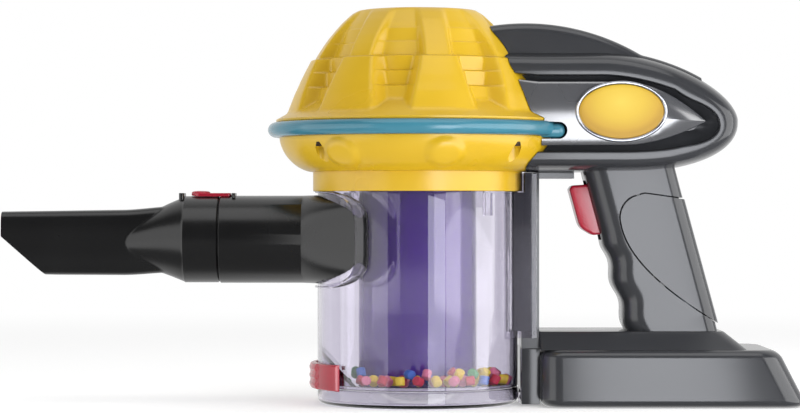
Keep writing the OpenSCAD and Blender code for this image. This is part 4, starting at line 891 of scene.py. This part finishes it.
# ---------------------------------------------------------------- rear column, hinge block, plinth and pack
column = soften(cad_copy("rear_column", "rear_column_post"), 0.7)
put(column, grey_abs, "body", "grey_plastic", "rear_column", sharp=35)
hinge = soften(cad_copy("hinge_block", "hinge_block_body"), 0.8)
put(hinge, grey_abs, "body", "grey_plastic", "hinge_block", sharp=35)


def plan_row(x0, x1, half, r_front, r_rear, z):
    """A level row with four round corners."""
    corners = [(x0, -half, r_front), (x1, -half, r_rear), (x1, half, r_rear), (x0, half, r_front)]
    return [(x, y, z) for x, y in rounded(corners, 10)]


pack_rows = []
edge_rise = PACK_EDGE * (1 - np.cos(quarter_turn(9)))
for z in sorted(set(np.round(np.concatenate((edge_rise, PACK_H - edge_rise)), 4))):
    near = min(z, PACK_H - z)
    inset = PACK_EDGE - math.sqrt(max(0.0, PACK_EDGE ** 2 - max(0.0, PACK_EDGE - near) ** 2))
    pack_rows.append(plan_row(
        PACK_X0 + inset, PACK_X1 - PACK_REAR_LEAN * z / PACK_H - inset,
        PACK_HALF - PACK_SIDE_LEAN * z / PACK_H - inset, 9 - 0.7 * inset, 10 - 0.7 * inset, z))
pack = mesh_piece("pack_shell", ring_grid(pack_rows, caps=True))
base_pocket = mesh_piece("base_pocket", block(56.7, 150.3, -26.3, 26.3, -1, 2.1))
cut(pack, base_pocket)
discard(base_pocket)
put(pack, grey_abs, "body", "grey_plastic", "pack_case", sharp=35)

plinth_rows = [plan_row(PACK_X0, x1, half, 0.6, r, z) for z, x1, half, r in (
    (PLINTH_Z0, 137.0, 27.0, 5.0), (24.2, 136.1, 26.2, 5.0), (30.0, 129.1, 19.6, 5.0),
    (30.5, 128.5, 19.0, 5.0), (30.8, 128.0, 18.5, 4.6), (PLINTH_Z1, 127.4, 17.9, 4.2))]
plinth = mesh_piece("plinth_shell", ring_grid(plinth_rows, caps=True),
                    block(43.4, PACK_X0, -15.5, 15.5, 23.6, 30.85))
put(plinth, grey_abs, "body", "grey_plastic", "plinth", sharp=30)


# ---------------------------------------------------------------- grip
def wave(v):
    """Finger waves on the grip's front, which fade out below the trigger."""
    mean, swing, first, pitch = 0.35, 0.85, 3.7, 17.4
    return float((mean - swing * math.cos(2 * math.pi * (v - first) / pitch)) * (1 - smoothstep(v, 34, 43)))


def rear_corner(u1, w, r):
    """The round corner between the grip's side at w and its back at u1."""
    return [(u1 - r + r * math.sin(t), w - r + r * math.cos(t)) for t in quarter_turn(11)]


def grip_arc(u0, u1, w, rf, rr):
    """Half a section of the grip, from its front at u0 to its back at u1."""
    seam = 0.05
    front = [(u0 + rf - rf * math.cos(t), w - rf + rf * math.sin(t)) for t in quarter_turn(13)]
    return [(u0, seam)] + front[1:] + rear_corner(u1, w, rr)[:-1] + [(u1, seam)]


def cover_outline(g):
    """Side outline of the battery cover in u and v, grown by g: a round top corner, then one curve
    down to the grip's rear foot."""
    past_rear, (corner_u, corner_v) = 40.0, (19 - g, 44.2)
    knee, pull, foot = np.array((9.3 - g, 44.0)), np.array((7.5 - g, 24 - g)), np.array((past_rear, -9 - g))
    out = [(past_rear, 46 + g), (22.0, 53.7 + g)]
    for t in np.radians(np.linspace(100, 180, 17)):
        out.append((corner_u + 9.7 * math.cos(t), corner_v + (9.5 + g) * math.sin(t)))
    for t in np.linspace(0.03, 1, 32):
        out.append(tuple((1 - t) ** 2 * knee + 2 * t * (1 - t) * pull + t * t * foot))
    return out


def grip_prism(outline, half):
    """A side outline of (u, v) in the grip's frame, pulled across the object."""
    return ring_grid([[in_grip(u, y, v) for u, v in outline] for y in (-half, half)], caps=True)


cover_cutter = mesh_piece("cover_cutter", grip_prism(cover_outline(0.6), PAST_SIDES))
cover_blank = mesh_piece("cover_blank", grip_prism(cover_outline(0.0), PAST_SIDES))
level_cutter = mesh_piece("level_cutter", block(60, 170, -PAST_SIDES, PAST_SIDES, PLINTH_Z1, HOUSE_Z0 + 4))
slot_u0, slot_u1, slot_v0, slot_v1 = -5, 3.9, 39.5, 65.5
slot_cutter = mesh_piece("trigger_slot", grip_prism(
    [(slot_u0, slot_v0), (slot_u1, slot_v0), (slot_u1, slot_v1), (slot_u0, slot_v1)], 8.3))
for side, word in ((-1, "left"), (1, "right")):
    rows = []
    # longer than the grip at both ends, then cut level
    for v in np.arange(-14, GRIP_L + 12, 1.0):
        u0, u1 = wave(v), 36.8 + 0.01 * v
        there = grip_arc(u0, u1, GRIP_HALF, GRIP_FRONT, GRIP_REAR)
        back = grip_arc(u0 + GRIP_WALL, u1 - GRIP_WALL, GRIP_HALF - GRIP_WALL, GRIP_FRONT - GRIP_WALL,
                        GRIP_REAR - GRIP_WALL)
        rows.append([in_grip(u, side * y, v) for u, y in there + back[::-1]])
    grip = mesh_piece("grip_shell_" + word, strip_rows(rows))
    cut(grip, level_cutter, "INTERSECT")
    cut(grip, cover_cutter)
    cut(grip, slot_cutter)
    # a rib behind the cover's top seam keeps light out of the grip
    rib_rows = [[in_grip(u, side * (y - inner), v) for u, y, v in (
        (12, 14.9, 51.2), (35.5, 14.9, 44.5), (35.5, 12.6, 52), (12, 12.6, 58))] for inner in (0, 0.6)]
    rib = mesh_piece("seam_rib", ring_grid(rib_rows, caps=True))
    cut(grip, rib, "UNION")
    discard(rib)
    put(grip, grey_abs, "body", "grey_plastic", "grip_" + word, sharp=35)


def lid_arc(u1, w, r):
    """Section of the battery cover: one side, the back and the other side."""
    half = [(8.0, w)] + rear_corner(u1, w, r)
    return half + [(u, -y) for u, y in reversed(half)]


lid_u1, lid_round, lid_wall = 38.0, 6.0, 1.7
lid_section = lid_arc(lid_u1, GRIP_HALF, lid_round)
lid_section += lid_arc(lid_u1 - lid_wall, GRIP_HALF - lid_wall, lid_round - lid_wall)[::-1]
lid_rows = [[in_grip(u, y, v) for u, y in lid_section] for v in np.arange(-14, 60, 2.0)]
battery_cover = mesh_piece("battery_cover_shell", strip_rows(lid_rows))
cut(battery_cover, cover_blank, "INTERSECT")
discard(cover_cutter, cover_blank, level_cutter, slot_cutter)
put(battery_cover, grey_abs, "battery_cover", "grey_plastic", "battery_cover", sharp=35)

trigger_side = rounded([
    (3.1, TRIGGER_V0 - 0.54), (3.1, TRIGGER_V1 - 0.54), (0, TRIGGER_V1, 2), (-5.9, TRIGGER_V1 + 1.2, 1.5),
    (-7.4, TRIGGER_V1, 1.2), (-7.4, TRIGGER_V0 + 5, 6), (-3.0, TRIGGER_V0 + 0.4, 3)], 6)
trigger = mesh_piece("trigger_blade", grip_prism(trigger_side, 8.0))
soften(trigger, 1.3, 4, 50)
flange_u0, flange_u1, flange_v0, flange_v1 = 2.9, 4.7, TRIGGER_V0 - 2, TRIGGER_V1 + 0.8
flange = mesh_piece("trigger_flange", grip_prism(
    [(flange_u0, flange_v0), (flange_u1, flange_v0), (flange_u1, flange_v1), (flange_u0, flange_v1)], 10.0))
cut(trigger, flange, "UNION")
# a pocket in its back takes the end of the spring when the trigger is pulled
pocket_r, pocket_u0, pocket_u1, pocket_v = 3.9, -0.2, 6.0, TRIGGER_V0 + 6
pocket = [(0, pocket_u0), (pocket_r, pocket_u0), (pocket_r, pocket_u1), (0, pocket_u1)]
points, faces = lathe(pocket, 40, close=False)
spring_pocket = mesh_piece("spring_pocket", ([in_grip(c, a, pocket_v + b) for a, b, c in points], faces))
cut(trigger, spring_pocket)
bm = bmesh.new()
bm.from_mesh(trigger.data)
# slivers of the cuts are merged away, so that the trigger stays closed
bmesh.ops.remove_doubles(bm, verts=bm.verts, dist=0.02 * MM)
bmesh.ops.dissolve_degenerate(bm, edges=bm.edges, dist=0.01 * MM)
bm.to_mesh(trigger.data)
bm.free()
discard(flange, spring_pocket)
put(trigger, red_abs, "trigger", "red_plastic", "trigger", sharp=40)
discard(head_cutter, ring_slot, panel_slot)


# ---------------------------------------------------------------- repeated pieces by Geometry Nodes
def scatter_tree(name):
    """Copies a form to every point, turned by the point's own turn, as one mesh."""
    tree = bpy.data.node_groups.new(name, "GeometryNodeTree")
    for word, way, kind in (("Geometry", "INPUT", "Geometry"), ("Form", "INPUT", "Object"),
                            ("Size", "INPUT", "Float"), ("Finish", "INPUT", "Material"),
                            ("Geometry", "OUTPUT", "Geometry")):
        tree.interface.new_socket(word, in_out=way, socket_type="NodeSocket" + kind)
    given = add(tree, "NodeGroupInput")
    form = add(tree, "GeometryNodeObjectInfo", {"Object": given.outputs["Form"]})
    turn = add(tree, "GeometryNodeInputNamedAttribute", {"Name": "turn"}, data_type="FLOAT_VECTOR")
    placed = add(tree, "GeometryNodeInstanceOnPoints", {
        "Points": given.outputs["Geometry"], "Instance": form.outputs["Geometry"],
        "Rotation": turn.outputs["Attribute"], "Scale": given.outputs["Size"]})
    real = add(tree, "GeometryNodeRealizeInstances", {"Geometry": placed.outputs["Instances"]})
    done = add(tree, "GeometryNodeSetMaterial", {
        "Geometry": real.outputs["Geometry"], "Material": given.outputs["Finish"]})
    add(tree, "NodeGroupOutput", {"Geometry": done.outputs["Geometry"]})
    return tree


scatter = scatter_tree("form_on_points")


def scattered(name, places, form, finish):
    """A piece made of one form at many places, each a point in mm and an Euler turn."""
    mesh = bpy.data.meshes.new(name)
    mesh.from_pydata([[c * MM for c in p] for p, _ in places], [], [])
    turn = mesh.attributes.new("turn", "FLOAT_VECTOR", "POINT")
    turn.data.foreach_set("vector", [c for _, t in places for c in t])
    obj = bpy.data.objects.new(name, mesh)
    scene.collection.objects.link(obj)
    modifier = obj.modifiers.new("scatter", "NODES")
    modifier.node_group = scatter
    sockets = {s.name: s.identifier for s in scatter.interface.items_tree if s.in_out == "INPUT"}
    for word, value in (("Form", form), ("Size", 1.0), ("Finish", finish)):
        modifier[sockets[word]] = value
    return bake(obj)


def islands(node):
    """The separate solids of a CAD node as arrays of points in metres."""
    bm = bmesh.new()
    bm.from_mesh(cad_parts[node].data)
    bmesh.ops.remove_doubles(bm, verts=bm.verts, dist=CAD_WELD)
    seen, groups = set(), []
    for start in bm.verts:
        if start in seen:
            continue
        stack, group = [start], []
        seen.add(start)
        while stack:
            v = stack.pop()
            group.append(tuple(v.co))
            for e in v.link_edges:
                w = e.other_vert(v)
                if w not in seen:
                    seen.add(w)
                    stack.append(w)
        groups.append(np.array(group))
    bm.free()
    return groups


bead_r, bead_half, bead_edge = 1.95, 1.79, 0.45
bead_side = rounded([(0.9, -bead_half), (bead_r, -bead_half, bead_edge), (bead_r, bead_half, bead_edge),
                     (0.9, bead_half)], 3)
bead_form = mesh_piece("bead_form", lathe(
    [(0, -bead_half)] + bead_side + [(0, bead_half)], 20, close=False))
bead_form.data.shade_smooth()
for colour, finish in bead_finish.items():
    places = []
    for points in islands("beads_" + colour):
        middle = (points.min(0) + points.max(0)) / 2
        # the bead's axis is the direction in which its points spread most
        axis = np.linalg.eigh(np.cov((points - points.mean(0)).T))[1][:, 2]
        turn = Vector(axis).to_track_quat("Z", "Y").to_euler()
        places.append((tuple(middle / MM), tuple(turn)))
    beads = scattered("beads_" + colour + "_rod", places, bead_form, finish)
    put(beads, finish, "body", "bead_" + colour, "beads_" + colour, sharp=45)
discard(bead_form)

# ---------------------------------------------------------------- inner pieces keep their CAD shape
plain_finish = {
    black_abs: ("bead_guard", "bead_screen", "motor_mount", "impeller", "switch", "battery_tray"),
    clear_plastic: ("catch_ramp",),
    steel: ("flap_pin", "catch_pin", "catch_spring", "motor_shaft", "base_screws", "shell_screws",
            "trigger_spring", "contact_springs", "contact_plate"),
    tin_can: ("motor",),
    # the bowl's screws carry the painted shade of their wells
    well_shade_steel: ("bowl_screws",),
    grey_abs: ("pack_base",),
    cell_wrap: ("battery_cells",),
}
for finish, nodes in plain_finish.items():
    for node in nodes:
        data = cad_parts[node].data
        data.materials.clear()
        data.materials.append(finish)

# ---------------------------------------------------------------- floor, light and camera
# the floor lies a hair under the object's foot, in metres
sweep_r, sweep_z, sweep_sides = 9, -0.0004, 96
floor_mesh = bpy.data.meshes.new("floor")
floor_mesh.from_pydata(hoop(sweep_r, sweep_z, full_turn(sweep_sides)), [], [tuple(range(sweep_sides))])
floor = bpy.data.objects.new("floor", floor_mesh)
scene.collection.objects.link(floor)
# white paper: matt, with a little glow of its own, and plain white in the distance
WHITE = (1, 1, 1, 1)
floor_paper, tree = new_material("white paper sweep")
place = add(tree, "ShaderNodeTexCoord").outputs["Object"]
far = add(tree, "ShaderNodeVectorMath", {0: place}, operation="LENGTH")
fade = add(tree, "ShaderNodeMapRange", {"Value": far.outputs["Value"], "From Min": 0.3, "From Max": 1.0},
           interpolation_type="SMOOTHSTEP")
paper = add(tree, "ShaderNodeBsdfDiffuse", {"Color": (0.8, 0.8, 0.8, 1)})
glow = add(tree, "ShaderNodeEmission", {"Color": WHITE, "Strength": 0.35})
near = add(tree, "ShaderNodeAddShader", {0: paper.outputs["BSDF"], 1: glow.outputs["Emission"]})
white = add(tree, "ShaderNodeEmission", {"Color": WHITE, "Strength": 1.0})
both = add(tree, "ShaderNodeMixShader", {
    0: fade.outputs["Result"], 1: near.outputs["Shader"], 2: white.outputs["Emission"]})
add(tree, "ShaderNodeOutputMaterial", {"Surface": both.outputs["Shader"]})
floor_mesh.materials.append(floor_paper)
# mirrors see the walls down to below the floor, as in a room with a white table
floor.visible_glossy = False

world = bpy.data.worlds.new("studio")
scene.world = world
world.use_nodes = True
tree = world.node_tree
tree.nodes.clear()
toward = add(tree, "ShaderNodeSeparateXYZ", {0: add(tree, "ShaderNodeTexCoord").outputs["Generated"]})
# the room that mirrors see: dim in front, pale behind the object, grey below
behind = add(tree, "ShaderNodeMapRange", {
    "Value": toward.outputs["Y"], "From Min": -0.1, "From Max": 0.35, "To Min": 0.12, "To Max": 0.9},
    interpolation_type="SMOOTHSTEP")
below = add(tree, "ShaderNodeMapRange", {
    "Value": toward.outputs["Z"], "From Min": 0.03, "From Max": -0.02, "To Min": 0.0, "To Max": 0.3},
    interpolation_type="SMOOTHSTEP")
room = add(tree, "ShaderNodeMath", {0: behind.outputs["Result"], 1: below.outputs["Result"]},
           operation="MAXIMUM")
path = add(tree, "ShaderNodeLightPath")
# what is seen straight through the clear plastic is white too, what is mirrored first is the room
straight = add(tree, "ShaderNodeMath", {0: path.outputs["Glossy Depth"], 1: 0.5}, operation="LESS_THAN")
through = add(tree, "ShaderNodeMath", {0: path.outputs["Is Transmission Ray"], 1: straight.outputs["Value"]},
              operation="MULTIPLY")
seen = add(tree, "ShaderNodeMath", {0: path.outputs["Is Camera Ray"], 1: through.outputs["Value"]},
           operation="MAXIMUM")
level = add(tree, "ShaderNodeMath", {0: room.outputs["Value"], 1: seen.outputs["Value"]}, operation="MAXIMUM")
backdrop = add(tree, "ShaderNodeBackground", {"Color": WHITE, "Strength": level.outputs["Value"]})
add(tree, "ShaderNodeOutputWorld", {"Surface": backdrop.outputs["Background"]})


def softbox(name, place, aim, width, height, radiance, through=True):
    """A rectangular softbox of an even radiance, in metres."""
    data = bpy.data.lights.new(name, "AREA")
    data.shape, data.size, data.size_y = "RECTANGLE", width, height
    data.energy = radiance * math.pi * width * height
    obj = bpy.data.objects.new(name, data)
    obj.location = place
    obj.rotation_euler = (Vector(aim) - Vector(place)).to_track_quat("-Z", "Y").to_euler()
    obj.visible_camera = False
    obj.visible_transmission = through
    scene.collection.objects.link(obj)
    return obj


softbox("key wall, right", (0.75, -0.35, 0.15), (0, 0, 0.15), 1.1, 0.9, 3.2)
softbox("fill wall, left", (-0.80, -0.35, 0.15), (0, 0, 0.15), 1.1, 0.9, 1.5)
# a cool card that the flat faces of the grip, the pack and the panel mirror
card = softbox("pale card, front right", (0.128, -0.34, 0.003), (0.128, 0, 0.003), 0.128, 0.306, 6.2,
               through=False)
card.data.color = (0.93, 0.95, 1.0)
softbox("top", (0.0, -0.35, 1.15), (0, 0, 0.1), 1.1, 0.8, 1.6)

# level camera 1.1 m away, whose lens gives the photograph's scale
camera_data = bpy.data.cameras.new("photograph")
camera_data.sensor_width, camera_data.lens = 36.0, 116.5
camera_data.clip_start, camera_data.clip_end = 0.05, 60.0
camera = bpy.data.objects.new("photograph", camera_data)
camera.location = (-0.0075, -1.1, 0.0831)
camera.rotation_euler = (math.pi / 2, 0, 0)
scene.collection.objects.link(camera)
scene.camera = camera
